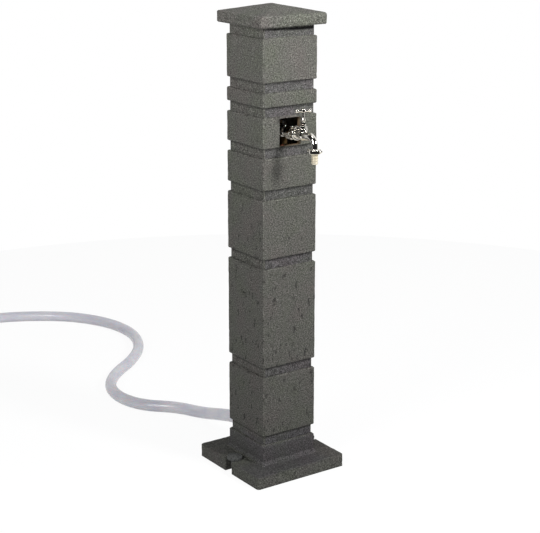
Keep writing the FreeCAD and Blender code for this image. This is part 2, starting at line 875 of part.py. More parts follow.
def make_bonnet():
    """Headwork: skirt in the chest, hexagon, and the boss that holds the packing."""
    skirt = rod(chamber_diameter - 2 * running_clearance, bonnet_bottom(), chest_top_z,
                valve_axis(), UP)
    hexagon = hex_bar(bonnet_hex_across_flats, chest_top_z, chest_top_z + bonnet_hex_height,
                      valve_axis(), UP, turn=15)
    rim = rod(chest_neck_diameter, chest_top_z, chest_top_z + 1.5, valve_axis(), UP)
    boss = rod(bonnet_boss_diameter, chest_top_z, bonnet_top(), valve_axis(), UP)
    body = fuse(skirt, rim, hexagon, boss)
    thread = spindle_thread_diameter + 2 * running_clearance
    body = body.cut(rod(thread, bonnet_bottom() - 1, gland_floor() - valve_travel_room / 2,
                        valve_axis(), UP))
    shaft = spindle_diameter + 2 * running_clearance
    body = body.cut(rod(shaft, bonnet_bottom(), bonnet_top() + 1, valve_axis(), UP))
    return body.cut(rod(packing_diameter, gland_floor(), bonnet_top() + 1, valve_axis(), UP))


def make_gland_packing():
    return tube(packing_diameter - 2 * running_clearance,
                spindle_diameter + 2 * running_clearance, gland_floor(),
                gland_floor() + packing_height, valve_axis(), UP)


def make_gland_nut():
    """Nut that presses the packing: sleeve, hexagon, groove, collar and a tapered tip."""
    sleeve = rod(packing_diameter - 2 * running_clearance, gland_floor() + packing_height,
                 bonnet_top() + 1, valve_axis(), UP)
    hex_top = bonnet_top() + gland_hex_height
    head = hex_bar(gland_across_flats, bonnet_top(), hex_top, valve_axis(), UP, turn=5, bevel=0.6)
    collar_bottom = hex_top + gland_groove
    collar_top = collar_bottom + gland_collar
    groove = gland_groove_diameter / 2
    collar = gland_collar_diameter / 2
    top = turned([(0, hex_top - 1), (groove, hex_top - 1), (groove, collar_bottom),
                  (collar, collar_bottom + collar - groove), (collar, collar_top - 0.5),
                  (collar - 0.5, collar_top), (gland_tip_diameter / 2, collar_top + gland_tip),
                  (0, collar_top + gland_tip)], valve_axis(), UP)
    shaft = spindle_diameter + 2 * running_clearance
    return fuse(sleeve, head, top).cut(
        rod(shaft, gland_floor(), collar_top + gland_tip + 1, valve_axis(), UP))


def handle_hub_bottom():
    return handle_centre_z() - handle_hub_height / 2


def ball_ended_bar(centre, along):
    """A round bar with a ball on each end, turned in one piece."""
    ball = handle_ball_diameter / 2
    thin = handle_bar_diameter / 2
    reach = handle_length / 2 - ball
    root = reach - math.sqrt(ball ** 2 - thin ** 2)
    top, bottom = Vector(0, 0, reach + ball), Vector(0, 0, -reach - ball)
    neck, foot = Vector(thin, 0, root), Vector(thin, 0, -root)
    outline = Part.Wire([
        Part.Arc(top, Vector(ball, 0, reach), neck).toShape(),
        Part.LineSegment(neck, foot).toShape(),
        Part.Arc(foot, Vector(ball, 0, -reach), bottom).toShape(),
        Part.LineSegment(bottom, top).toShape(),
    ])
    return place(Part.Face(outline).revolve(Vector(0, 0, 0), UP, 360), centre, along)


def make_handle():
    """T-handle: hub with a square socket, and a bar with ball ends."""
    centre = valve_axis(handle_centre_z())
    along = Vector(math.cos(math.radians(handle_angle)), math.sin(math.radians(handle_angle)), 0)
    hub = turned([(0, handle_hub_bottom()),
                  (handle_hub_diameter / 2 - 0.8, handle_hub_bottom()),
                  (handle_hub_diameter / 2, handle_hub_bottom() + 0.8),
                  (handle_hub_diameter / 2, handle_hub_bottom() + handle_hub_height - 0.8),
                  (handle_hub_diameter / 2 - 0.8, handle_hub_bottom() + handle_hub_height),
                  (0, handle_hub_bottom() + handle_hub_height)], valve_axis(), UP)
    body = fuse(hub, ball_ended_bar(centre, along))
    half = handle_square / 2 + running_clearance
    low = handle_hub_bottom()
    socket = box((-half, half), (-half, half), (low - 1, low + handle_square_length))
    socket.translate(valve_axis())
    socket.rotate(valve_axis(), UP, handle_angle)
    body = body.cut(socket)
    top = low + handle_hub_height
    return body.cut(rod(handle_screw_diameter + 0.4, low, top + 1, valve_axis(), UP))


def make_handle_screw():
    top = handle_hub_bottom() + handle_hub_height
    r = handle_screw_diameter / 2
    head = handle_screw_head / 2
    tip = handle_hub_bottom() + handle_square_length - handle_screw_depth
    profile = [(0, tip), (r, tip), (r, top), (head, top), (head, top + handle_screw_head_height / 2),
               (head * 0.6, top + handle_screw_head_height), (0, top + handle_screw_head_height)]
    screw = turned(profile, valve_axis(), UP)
    slit = box((-0.4, 0.4), (-head, head), (top + handle_screw_head_height * 0.4, top + 5))
    slit.translate(valve_axis())
    return screw.cut(slit)


def outlet_end():
    """Centre of the spout's end face; distances run down from it."""
    return Vector(0, spout_y, spout_end_z)


def tail_flange_bottom():
    return outlet_washer + tail_flange


def nut_bottom():
    return tail_flange_bottom() + outlet_nut_lip


def make_outlet_washer():
    return tube(tail_flange_diameter, spout_bore, 0, outlet_washer, outlet_end(), DOWN)


def round_lug(centre, direction):
    """A stub bar with a rounded end, reaching out from the centre."""
    lug = rod(2 * outlet_ear_radius, 0, outlet_ear_reach, centre, direction)
    far = max(lug.Edges, key=lambda e: (e.CenterOfMass - centre).dot(direction))
    return lug.makeFillet(outlet_ear_radius * 0.9, [far])


def make_outlet_nut():
    """Union nut with a lug on each side, to turn it by hand."""
    outer = outlet_nut_diameter / 2
    start = -outlet_nut_cover
    body = turned([(0, start), (outer - 0.8, start), (outer, start + 0.8),
                   (outer, nut_bottom() - 0.8), (outer - 0.8, nut_bottom()), (0, nut_bottom())],
                  outlet_end(), DOWN)
    turn = math.radians(-outlet_ear_angle)
    along = Vector(math.cos(turn), math.sin(turn), 0)
    mid = outlet_end() + DOWN * (start + outlet_ear_drop)
    body = fuse(body, *[round_lug(mid, along * side) for side in (1, -1)])
    thread = thread_diameter + 2 * tail_neck_clearance
    body = body.cut(rod(thread, start - 1, tail_flange_bottom(), outlet_end(), DOWN))
    neck = tail_neck_diameter + 2 * tail_neck_clearance
    return body.cut(rod(neck, 0, nut_bottom() + 1, outlet_end(), DOWN))


def make_hose_tail():
    """Ribbed spigot held by the outlet nut: flange, neck, groove and ribs."""
    neck_end = nut_bottom() + 0.6
    rib_start = neck_end + tail_groove
    ribs = []
    for i in range(tail_ribs):
        low = rib_start + i * tail_rib_pitch
        ribs += [(tail_crest_diameter / 2, low + 0.4),
                 (tail_crest_diameter / 2, low + tail_rib_pitch * 0.6),
                 (tail_root_diameter / 2, low + tail_rib_pitch * 0.8),
                 (tail_root_diameter / 2, low + tail_rib_pitch)]
    end = rib_start + tail_ribs * tail_rib_pitch
    profile = [(tail_bore / 2, outlet_washer), (tail_flange_diameter / 2, outlet_washer),
               (tail_flange_diameter / 2, tail_flange_bottom()),
               (tail_neck_diameter / 2, tail_flange_bottom()), (tail_neck_diameter / 2, neck_end),
               (tail_groove_diameter / 2, neck_end), (tail_groove_diameter / 2, rib_start),
               ] + ribs + [(tail_bore / 2, end)]
    return turned(profile, outlet_end(), DOWN)


def make_knob(x):
    """Fluted hand knob with a threaded sleeve that reaches down into the base's slot."""
    origin = Vector(x, slot_offset, plate_thickness + knob_lift)
    r = knob_diameter / 2
    dish = r - knob_rim
    sleeve = knob_sleeve_diameter / 2
    top = knob_height
    profile = [(0, -knob_sleeve_length), (sleeve - 1, -knob_sleeve_length),
               (sleeve, 1 - knob_sleeve_length), (sleeve, 0), (r, 0), (r, top - 2), (r - 2, top),
               (dish + 1, top), (dish, top - knob_top_recess), (0, top - knob_top_recess)]
    body = turned(profile, origin, UP)
    for i in range(knob_flutes):
        a = math.radians(360 / knob_flutes * i)
        groove = origin + Vector(math.cos(a), math.sin(a), 0) * (r + flute_radius * 0.35)
        body = body.cut(rod(2 * flute_radius, -0.5, top + 1, groove, UP))
    bore_top = anchor_bore_depth - knob_sleeve_length
    return body.cut(rod(anchor_bore_diameter, -knob_sleeve_length - 1, bore_top, origin, UP))


# Route of the free hose: from the inlet's flange, down to the ground and out to the coil.
# The points lie outside the hose's own line, which bends round each of them.
hose_floor = hose_diameter / 2
hose_route = [
    Vector(0, barb_start_y, inlet_height), Vector(0, 135, inlet_height), Vector(3, 212, 35),
    Vector(6, 284, hose_floor), Vector(-26, 352, hose_floor), Vector(-84, 403, hose_floor),
    Vector(-106, 480, hose_floor), Vector(-88, 560, hose_floor), Vector(-34, 628, hose_floor),
    Vector(44, 684, hose_floor), Vector(116, 764, hose_floor), Vector(156, 868, hose_floor),
    Vector(150, 978, hose_floor), Vector(100, 1080, hose_floor), Vector(18, 1152, hose_floor),
    Vector(-82, 1202, hose_floor), Vector(-185, 1223, hose_floor),
]


def rounded_route(points):
    """Straight runs joined by tangent arcs; returns the wire and the arcs' radii."""
    edges = []
    radii = []
    start = points[0]
    for before, corner, after in zip(points, points[1:], points[2:]):
        into = corner - before
        out = after - corner
        short = min(into.Length, out.Length)
        half_turn = into.getAngle(out) / 2
        radius = 0.45 * short / math.tan(half_turn)
        radii.append(radius)
        into.normalize()
        out.normalize()
        cut = 0.45 * short
        a = corner - into * cut
        b = corner + out * cut
        bisector = out - into
        bisector.normalize()
        centre = corner + bisector * (radius / math.cos(half_turn))
        middle = centre - bisector * radius
        edges.append(Part.LineSegment(start, a).toShape())
        edges.append(Part.Arc(a, middle, b).toShape())
        start = b
    edges.append(Part.LineSegment(start, points[-1]).toShape())
    return Part.Wire(edges), radii


def hose_along(wire, start, direction):
    """The hose's round section carried along a wire."""
    section = Part.Wire(Part.makeCircle(hose_diameter / 2, start, direction))
    return wire.makePipeShell([section], True, False)


def make_hose_run():
    wire, radii = rounded_route(hose_route)
    start = hose_route[0]
    solid = hose_along(wire, start, hose_route[1] - start)
    section = math.pi * hose_diameter ** 2 / 4
    print("hose run: length %.0f mm, arc radii from %.0f to %.0f mm" %
          (wire.Length, min(radii), max(radii)))
    print("hose run radii:", " ".join("%.0f" % r for r in radii))
    print("hose run: volume over section times length %.5f" % (solid.Volume / section / wire.Length))
    return solid


def coil_path():
    """Edges of the coil, and the point and heading of its far end."""
    start = hose_route[-1]
    heading = start - hose_route[-2]
    heading.normalize()
    lead_end = start + heading * coil_lead
    edges = [Part.LineSegment(start, lead_end).toShape()]
    turns = [(coil_radius, 180), (coil_radius - (hose_diameter + coil_gap) / 2, 90),
             (coil_tail_radius, 90), (coil_tail_radius, 60)]
    point = lead_end
    for radius, degrees in turns:
        centre = point - UP.cross(heading) * radius
        spin = FreeCAD.Rotation(UP, -degrees)
        half = FreeCAD.Rotation(UP, -degrees / 2)
        middle = centre + half.multVec(point - centre)
        end = centre + spin.multVec(point - centre)
        edges.append(Part.Arc(point, middle, end).toShape())
        heading = spin.multVec(heading)
        point = end
    end = point + heading * hose_diameter
    edges.append(Part.LineSegment(point, end).toShape())
    return edges, end, heading


def make_hose_coil():
    edges, end, heading = coil_path()
    wire = Part.Wire(edges)
    start = hose_route[-1]
    solid = hose_along(wire, start, start - hose_route[-2])
    section = math.pi * hose_diameter ** 2 / 4
    print("hose coil: length %.0f mm, volume over section times length %.5f" %
          (wire.Length, solid.Volume / section / wire.Length))
    points = wire.discretize(Number=400)
    step = wire.Length / 399
    apart = int(4 * hose_diameter / step)
    least = min((p - q).Length for i, p in enumerate(points) for q in points[i + apart:])
    print("hose coil: least gap between turns %.2f mm" % (least - hose_diameter))
    return solid


def make_hose_ferrule():
    """Brass sleeve pressed on the hose's far end, with two crimped grooves."""
    edges, end, heading = coil_path()
    r = hose_diameter / 2
    deep = r - ferrule_crimp
    wide = ferrule_crimp_width / 2
    crimps = []
    for middle in (ferrule_length / 3, 2 * ferrule_length / 3):
        crimps += [(r, middle - wide), (deep, middle - wide / 2), (deep, middle + wide / 2),
                   (r, middle + wide)]
    profile = [(0, 0), (r, 0)] + crimps + [(r, ferrule_length), (0, ferrule_length)]
    body = turned(profile, end, heading)
    return body.cut(rod(nipple_bore, ferrule_length - nipple_insertion, ferrule_length + 1,
                        end, heading))


def make_hose_nipple():
    """Brass threaded nipple at the hose's far end, for the garden supply."""
    edges, end, heading = coil_path()
    face = end + heading * ferrule_length
    hexagon = hex_bar(nipple_across_flats, 0, nipple_hex_length, face, heading, turn=30)
    thread = nipple_thread_diameter / 2
    stop = nipple_hex_length + nipple_thread_length
    threads = turned([(0, nipple_hex_length - 1), (thread - 1, nipple_hex_length - 1),
                      (thread - 1, nipple_hex_length), (thread, nipple_hex_length + 1),
                      (thread, stop - 1), (thread - 1, stop), (0, stop)], face, heading)
    return fuse(hexagon, threads).cut(rod(nipple_bore, -1, stop + 1, face, heading))


def main():
    pieces = {
        "base_plinth": make_base(),
        "stone_post": make_post(),
        "post_screws": group(*[wood_screw(point, direction, screw_grip)
                               for direction, point in spigot_screw_places()]),
        "pyramid_cap": make_cap(),
        "cap_pads": make_cap_pads(),
        "mounting_bar": make_mounting_bar(),
        "mounting_bar_screws": group(*[wood_screw(point, direction, screw_grip)
                                       for point, direction in bar_screw_places()]),
        "wall_plate_elbow": make_wall_plate_elbow(),
        "wall_plate_screws": group(*[wood_screw(ear - BACK * plate_flange_thickness, BACK,
                                                screw_grip) for ear in elbow_ear_places()]),
        "compression_nuts": make_compression_nuts(),
        "riser_pipe": make_riser_pipe(),
        "lower_elbow": make_lower_elbow(),
        "inlet_pipe": make_inlet_pipe(),
        "hose_inlet": make_hose_inlet(),
        "inlet_washer": make_inlet_washer(),
        "inlet_locknut": make_inlet_locknut(),
        "hose_clamp": make_hose_clamp(),
        "hose_clamp_screw": make_clamp_screw(),
        "tap_extension": make_tap_extension(),
        "union_washer": make_union_washer(),
        "union_nut": make_union_nut(),
        "tap_body": make_tap_body(),
        "bonnet": make_bonnet(),
        "gland_packing": make_gland_packing(),
        "gland_nut": make_gland_nut(),
        "valve_washer": make_valve_washer(),
        "valve_jumper": make_jumper(),
        "washer_nut": make_washer_nut(),
        "spindle": make_spindle(),
        "tee_handle": make_handle(),
        "handle_screw": make_handle_screw(),
        "outlet_nut": make_outlet_nut(),
        "outlet_washer": make_outlet_washer(),
        "hose_tail": make_hose_tail(),
        "hose_run": make_hose_run(),
        "hose_coil": make_hose_coil(),
        "hose_ferrule": make_hose_ferrule(),
        "hose_nipple": make_hose_nipple(),
    }
    for side, x in knob_places.items():
        pieces["ground_knob_" + side] = make_knob(x)

    os.makedirs("parts", exist_ok=True)
    for name, shape in pieces.items():
        if not shape.isValid():
            print("not valid:", name)
        shape.exportStep("parts/%s.step" % name)


main()
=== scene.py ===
import json
import math

import bmesh
import bpy
from mathutils import Matrix, Vector, noise


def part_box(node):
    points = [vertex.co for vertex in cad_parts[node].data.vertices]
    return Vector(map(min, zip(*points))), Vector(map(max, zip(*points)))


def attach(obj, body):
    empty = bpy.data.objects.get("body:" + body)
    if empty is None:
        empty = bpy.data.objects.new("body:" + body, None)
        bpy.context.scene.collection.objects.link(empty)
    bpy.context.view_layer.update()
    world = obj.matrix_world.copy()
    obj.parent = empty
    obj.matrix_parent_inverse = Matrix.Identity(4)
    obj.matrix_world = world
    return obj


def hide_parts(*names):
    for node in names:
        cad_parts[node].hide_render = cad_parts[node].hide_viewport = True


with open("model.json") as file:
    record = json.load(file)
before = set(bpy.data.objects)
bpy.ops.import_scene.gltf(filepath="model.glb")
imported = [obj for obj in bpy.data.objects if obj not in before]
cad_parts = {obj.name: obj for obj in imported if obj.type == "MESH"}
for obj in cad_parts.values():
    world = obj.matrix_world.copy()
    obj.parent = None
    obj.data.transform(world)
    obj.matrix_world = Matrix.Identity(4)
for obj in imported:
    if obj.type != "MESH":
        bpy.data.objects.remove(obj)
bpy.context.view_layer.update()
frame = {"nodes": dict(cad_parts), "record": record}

# A garden water column: grooved granite-look post, chromed tap, reinforced hose.
# Metres, +Z up, the tap faces -Y. Sizes are written in millimetres and scaled by MM.
MM = 0.001
UP = Vector((0, 0, 1))
DOWN = Vector((0, 0, -1))
OUT = Vector((0, -1, 0))

# Camera, fitted to the photograph's edges
CAMERA_PLACE = (-1.6377, -2.3522, 1.26006)
CAMERA_YAW = 34.784
CAMERA_PITCH = 16.113
CAMERA_LENS = 96.498
CAMERA_SENSOR = 36

# Stone: half widths of the post's blocks and of its grooves, and heights above the ground
POST_HALF = 65 * MM
CORE_HALF = 60.5 * MM
HOLLOW_HALF = 52 * MM
PLATE_TOP = 27 * MM
PLINTH_TOP = 70 * MM
NECK_TOP = 90 * MM
TOP_GROOVE = 900 * MM
POST_TOP = 930 * MM
CAP_HEIGHT = 38 * MM

# Size of the squares that the stone's skin is cut into, and a hair's breadth for comparing
SKIN_STEP = 2.8 * MM
HAIR = 0.1 * MM

# Ground knobs: how far they stand from the middle, and the height of their underside
KNOB_X = 94
KNOB_Z = 27.1
KNOB_FLUTES = 16

# Hose: its size, how finely it is made, its braid's threads each way and the length of their
# turn, and the route of its free run
HOSE_RADIUS = 13.5 * MM
HOSE_SIDES = 40
HOSE_STEP = 6 * MM
BRAID_STARTS = 12
BRAID_LEAD = 6.2 * MM
HOSE_ROUTE = [
    (0, 73, 56), (0, 135, 56), (3, 212, 35), (6, 284, 13.5), (-26, 352, 13.5),
    (-84, 403, 13.5), (-106, 480, 13.5), (-88, 560, 13.5), (-34, 628, 13.5),
    (44, 684, 13.5), (116, 764, 13.5), (156, 868, 13.5), (150, 978, 13.5),
    (100, 1080, 13.5), (18, 1152, 13.5), (-82, 1202, 13.5), (-185, 1223, 13.5),
]

# Coil of the hose's unseen length: a straight lead, arcs as (radius, degrees) with a point at
# each step of degrees, a straight end, and the ferrule
COIL_LEAD = 15
COIL_ARCS = ((143, 180), (129, 90), (108, 150))
COIL_STEP = 15
COIL_END = 27
FERRULE_LENGTH = 20 * MM

# Tap: its axis where it leaves the post's front face, and the spout's end below
TAP_AXIS = Vector((0, -65, 723.85)) * MM
OUTLET_END = Vector((0, -146, 698.15)) * MM
CHEST_REACH = 43
BEND_REACH = 63
SPOUT_BEND = 18
BARREL_RADIUS = 7.75
SPOUT_RADIUS = 6.2
HANDLE_HEIGHT = 48
HANDLE_ANGLE = math.radians(-16)
OUTLET_LUG_ANGLE = math.radians(-65)
LUG_REACH = 16.5
THREAD_PITCH = 1.814

# The floor is a round white sheet, a hair below the ground
FLOOR_RADIUS = 1.9
FLOOR_DROP = 0.3 * MM

# CAD nodes that a piece of this script stands for, and those of old brass inside the post
REPLACED = set()
AGED = ("compression_nuts", "lower_elbow", "inlet_locknut")


def mm(x, y, z):
    """A point given in millimetres."""
    return Vector((x, y, z)) * MM


def colour(red, green, blue):
    """A colour as it looks on a screen, 0 to 255, as the shader's own values."""
    def linear(value):
        share = value / 255
        return share / 12.92 if share <= 0.04045 else ((share + 0.055) / 1.055) ** 2.4

    return (linear(red), linear(green), linear(blue), 1.0)


class Finish:
    """A material being made, with short ways to add nodes to it."""

    def __init__(self, name, base, roughness, metallic=0.0, **sockets):
        self.material = bpy.data.materials.new(name)
        self.material.use_nodes = True
        self.nodes = self.material.node_tree.nodes
        self.links = self.material.node_tree.links
        self.shader = self.nodes["Principled BSDF"]
        self.shader.inputs["Base Color"].default_value = base
        self.shader.inputs["Roughness"].default_value = roughness
        self.shader.inputs["Metallic"].default_value = metallic
        for socket, value in sockets.items():
            self.shader.inputs[socket.replace("_", " ")].default_value = value
        self.place = self.nodes.new("ShaderNodeTexCoord").outputs["Object"]

    def join(self, value, socket):
        """Links an output to a socket, or sets the socket to a plain value."""
        if isinstance(value, bpy.types.NodeSocket):
            self.links.new(value, socket)
        else:
            socket.default_value = value

    def noise(self, size, detail=2.0, roughness=0.5):
        """Soft noise whose lumps are about the given size in millimetres."""
        node = self.nodes.new("ShaderNodeTexNoise")
        self.join(self.place, node.inputs["Vector"])
        node.inputs["Scale"].default_value = 1 / (size * MM)
        node.inputs["Detail"].default_value = detail
        node.inputs["Roughness"].default_value = roughness
        return node.outputs["Fac"]

    def ramp(self, source, *stops):
        """Colours along 0 to 1, as (place, colour) pairs."""
        node = self.nodes.new("ShaderNodeValToRGB")
        self.join(source, node.inputs["Fac"])
        elements = node.color_ramp.elements
        while len(elements) < len(stops):
            elements.new(0.5)
        for element, (place, shade) in zip(elements, stops):
            element.position = place
            element.color = shade
        return node.outputs["Color"]

    def spread(self, source, low, high, to_low=0.0, to_high=1.0):
        """Maps low..high of a value to to_low..to_high, clamped."""
        node = self.nodes.new("ShaderNodeMapRange")
        self.join(source, node.inputs["Value"])
        for socket, value in (("From Min", low), ("From Max", high),
                              ("To Min", to_low), ("To Max", to_high)):
            node.inputs[socket].default_value = value
        return node.outputs["Result"]

    def math(self, operation, first, second=0.0):
        node = self.nodes.new("ShaderNodeMath")
        node.operation = operation
        self.join(first, node.inputs[0])
        self.join(second, node.inputs[1])
        return node.outputs["Value"]

    def mix(self, share, first, second, kind="MIX"):
        node = self.nodes.new("ShaderNodeMix")
        node.data_type = "RGBA"
        node.blend_type = kind
        self.join(share, node.inputs["Factor"])
        self.join(first, node.inputs["A"])
        self.join(second, node.inputs["B"])
        return node.outputs[2]

    def part(self, source, axis):
        """One coordinate of a vector, such as the place on the object in metres."""
        node = self.nodes.new("ShaderNodeSeparateXYZ")
        self.join(source, node.inputs["Vector"])
        return node.outputs[axis]

    def attribute(self, name):
        node = self.nodes.new("ShaderNodeAttribute")
        node.attribute_name = name
        return node.outputs["Fac"]

    def bump(self, height, depth, strength=1.0, under=None):
        """Relief of the given depth in millimetres, over another relief if one is given."""
        node = self.nodes.new("ShaderNodeBump")
        self.join(height, node.inputs["Height"])
        node.inputs["Distance"].default_value = depth * MM
        node.inputs["Strength"].default_value = strength
        if under is not None:
            self.join(under, node.inputs["Normal"])
        return node.outputs["Normal"]

    def set(self, socket, value):
        self.join(value, self.shader.inputs[socket])


def stone_finish():
    """Cast granite look: dark grey with fine light and dark grains, with painted shade that
    darkens it towards the ground.
    """
    stone = Finish("granite_cast", colour(95, 95, 89), 0.9, Specular_IOR_Level=0.3)
    grain = stone.noise(2.6, 3.0, roughness=0.65)
    tone = stone.ramp(grain, (0.28, colour(52, 52, 48)), (0.44, colour(101, 101, 95)),
                      (0.58, colour(140, 140, 133)), (0.75, colour(184, 183, 175)))
    tint = stone.ramp(stone.noise(70, 2.0), (0.35, colour(127, 129, 123)),
                      (0.5, colour(129, 128, 127)), (0.66, colour(132, 127, 128)))
    tone = stone.mix(1.0, tone, tint, "OVERLAY")
    flecks = stone.spread(stone.noise(1.3, 1.0), 0.66, 0.78)
    tone = stone.mix(flecks, tone, colour(172, 171, 166))
    holes = stone.spread(stone.noise(1.9, 2.0), 0.36, 0.30)
    tone = stone.mix(holes, tone, colour(38, 38, 36))
    # Painted shade: the tone is lighter at the top and darker towards the ground, as the light
    # falls.
    above_ground = stone.part(stone.place, "Z")
    lower = stone.spread(above_ground, 0.0, 0.52, 0.51, 0.78)
    upper = stone.spread(above_ground, 0.52, 0.95, 0.0, 0.33)
    height = stone.math("ADD", lower, upper)
    # The skin's painted light and shade, with its dirt lines, scale the tone.
    shade = stone.math("MULTIPLY", height, stone.attribute("painted_light_and_dirt"))
    tone = stone.mix(1.0, tone, shade, "MULTIPLY")
    # A darker violet grey on the plinth band and on the front grooves.
    tone = stone.mix(stone.attribute("darker_violet"), tone, colour(232, 228, 246), "MULTIPLY")
    raw = stone.ramp(stone.noise(14, 3.0), (0.35, colour(104, 84, 62)),
                     (0.65, colour(134, 112, 84)))
    tone = stone.mix(stone.attribute("bare"), tone, raw)
    stone.set("Base Color", tone)
    coarse = stone.bump(stone.noise(4.4, 3.0, roughness=0.6), 1.7, 0.8)
    stone.set("Normal", stone.bump(grain, 1.1, 0.9, under=coarse))
    stone.set("Roughness", stone.spread(grain, 0.3, 0.7, 0.97, 0.82))
    return stone.material


def chrome_finish():
    """Polished nickel-chrome plate with faint waviness, smears, and a cream film below, partly
    lime and partly a painted reflection of the pale floor.
    """
    chrome = Finish("chrome_plate", colour(226, 223, 216), 0.07, 1.0)
    smear = chrome.noise(9.0, 3.0)
    facing = chrome.nodes.new("ShaderNodeNewGeometry").outputs["Normal"]
    # Undersides drawn cream, duller and less metallic: partly lime, partly a painted reflection
    # of the pale floor.
    below = chrome.spread(chrome.part(facing, "Z"), -0.35, -0.75)
    lime_and_floor_reflection = chrome.math("MULTIPLY", below, chrome.spread(smear, 0.3, 0.6, 0.55, 0.95))
    polish = chrome.spread(smear, 0.35, 0.75, 0.05, 0.16)
    chrome.set("Base Color", chrome.mix(lime_and_floor_reflection, colour(226, 223, 216), colour(228, 214, 182)))
    chrome.set("Metallic", chrome.math("SUBTRACT", 1.0, chrome.math("MULTIPLY", lime_and_floor_reflection, 0.75)))
    chrome.set("Roughness", chrome.math("ADD", polish, chrome.math("MULTIPLY", lime_and_floor_reflection, 0.4)))
    chrome.set("Normal", chrome.bump(chrome.noise(9.0, 1.0), 0.04, 0.2))
    return chrome.material


def satin_finish():
    """Pale, worn nickel plate of the outlet's tail, which spreads the light it takes."""
    satin = Finish("satin_nickel", colour(214, 206, 186), 0.34, 0.55)
    smear = satin.noise(6.0, 3.0)
    satin.set("Base Color", satin.ramp(smear, (0.3, colour(222, 215, 196)),
                                       (0.75, colour(192, 181, 156))))
    satin.set("Roughness", satin.spread(smear, 0.3, 0.8, 0.26, 0.42))
    satin.set("Normal", satin.bump(satin.noise(0.7, 2.0), 0.03, 0.4))
    return satin.material


def metal_finish(name, bright, dull, roughness):
    """Bare turned metal: fine marks, with duller patches."""
    metal = Finish(name, bright, roughness, 1.0)
    patches = metal.noise(12.0, 4.0)
    metal.set("Base Color", metal.ramp(patches, (0.35, bright), (0.72, dull)))
    metal.set("Roughness", metal.spread(patches, 0.3, 0.8, roughness, roughness + 0.2))
    metal.set("Normal", metal.bump(metal.noise(0.9, 2.0), 0.06, 0.4))
    return metal.material


def rubber_finish(name, base):
    """Dull rubber or fibre, with a paler dust in its grain."""
    rubber = Finish(name, base, 0.75, Specular_IOR_Level=0.35)
    grain = rubber.noise(1.1, 3.0)
    dusty = tuple(min(1.0, value * 1.6 + 0.004) for value in base[:3]) + (1.0,)
    rubber.set("Base Color", rubber.ramp(grain, (0.3, base), (0.8, dusty)))
    rubber.set("Normal", rubber.bump(grain, 0.12, 0.6))
    return rubber.material


def knob_finish():
    """Dull grey moulded plastic with lighter and darker patches."""
    knob = Finish("grey_plastic", colour(50, 51, 50), 0.65, Specular_IOR_Level=0.3)
    dust = knob.noise(4.0, 3.0)
    knob.set("Base Color", knob.ramp(dust, (0.3, colour(32, 33, 33)), (0.7, colour(70, 71, 69))))
    knob.set("Roughness", knob.spread(dust, 0.3, 0.7, 0.45, 0.75))
    knob.set("Normal", knob.bump(knob.noise(0.8, 2.0), 0.08, 0.5))
    return knob.material


def hose_finish():
    """Milky reinforced hose: a fine crossed braid shows through its glossy skin."""
    hose = Finish("braided_hose", colour(176, 175, 182), 0.3, Coat_Weight=0.2,
                  Coat_Roughness=0.1, Subsurface_Weight=0.15, Subsurface_Scale=0.006)
    uv = hose.nodes.new("ShaderNodeUVMap")
    uv.uv_map = "hose"
    across, length = (hose.part(uv.outputs["UV"], axis) for axis in "XY")
    round_turns = hose.math("MULTIPLY", across, math.tau * BRAID_STARTS)
    along = hose.math("MULTIPLY", length, math.tau / BRAID_LEAD)
    first = hose.math("SINE", hose.math("ADD", round_turns, along))
    second = hose.math("SINE", hose.math("SUBTRACT", round_turns, along))
    braid = hose.spread(hose.math("MAXIMUM", first, second), 0.55, 0.98)
    milk = hose.noise(35, 2.0)
    tone = hose.ramp(milk, (0.3, colour(166, 164, 176)), (0.7, colour(182, 181, 184)))
    tone = hose.mix(hose.math("MULTIPLY", braid, 0.35), tone, colour(206, 206, 208))
    hose.set("Base Color", tone)
    hose.set("Normal", hose.bump(braid, 0.12, 0.35))
    return hose.material


FINISHES = {
    "stone": stone_finish(),
    "chrome": chrome_finish(),
    "brass": metal_finish("bare_brass", colour(206, 172, 104), colour(166, 132, 76), 0.26),
    "copper": metal_finish("copper_pipe", colour(116, 72, 54), colour(78, 50, 40), 0.45),
    "steel": metal_finish("zinc_steel", colour(190, 192, 194), colour(150, 153, 156), 0.3),
    "rubber": rubber_finish("black_rubber", colour(32, 32, 33)),
    "fibre": rubber_finish("red_fibre", colour(128, 58, 44)),
    "knob": knob_finish(),
    "hose": hose_finish(),
}
NODE_SLOTS = {part["node"]: part["material_slot"] for part in frame["record"]["subparts"]}
NODE_BODIES = {node: body for body, nodes in frame["record"]["behaviour"]["bodies"].items()
               for node in nodes}


def finish_cad_nodes():
    """Every CAD node gets its slot's finish. Inside the post brass is aged."""
    aged = metal_finish("aged_brass", colour(92, 74, 48), colour(60, 48, 34), 0.5)
    for node, piece in frame["nodes"].items():
        piece.data.materials.clear()
        piece.data.materials.append(aged if node in AGED else FINISHES[NODE_SLOTS[node]])


def piece_from(bm, name, node, *replaced, smooth_angle=35):
    """Makes a piece of the mesh, with the finish and body of a CAD node, which it replaces."""
    bmesh.ops.recalc_face_normals(bm, faces=bm.faces)
    return placed_piece(bm, name, node, *replaced, smooth_angle=smooth_angle)


def placed_piece(bm, name, node, *replaced, smooth_angle=35):
    """The same for a mesh whose faces already point the right way."""
    mesh = bpy.data.meshes.new(name)
    bm.to_mesh(mesh)
    bm.free()
    mesh.shade_smooth()
    mesh.set_sharp_from_angle(angle=math.radians(smooth_angle))
    mesh.materials.append(FINISHES[NODE_SLOTS[node]])
    piece = bpy.data.objects.new(name, mesh)
    bpy.context.scene.collection.objects.link(piece)
    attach(piece, NODE_BODIES[node])
    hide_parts(node, *replaced)
    REPLACED.update((node, *replaced))
    return piece


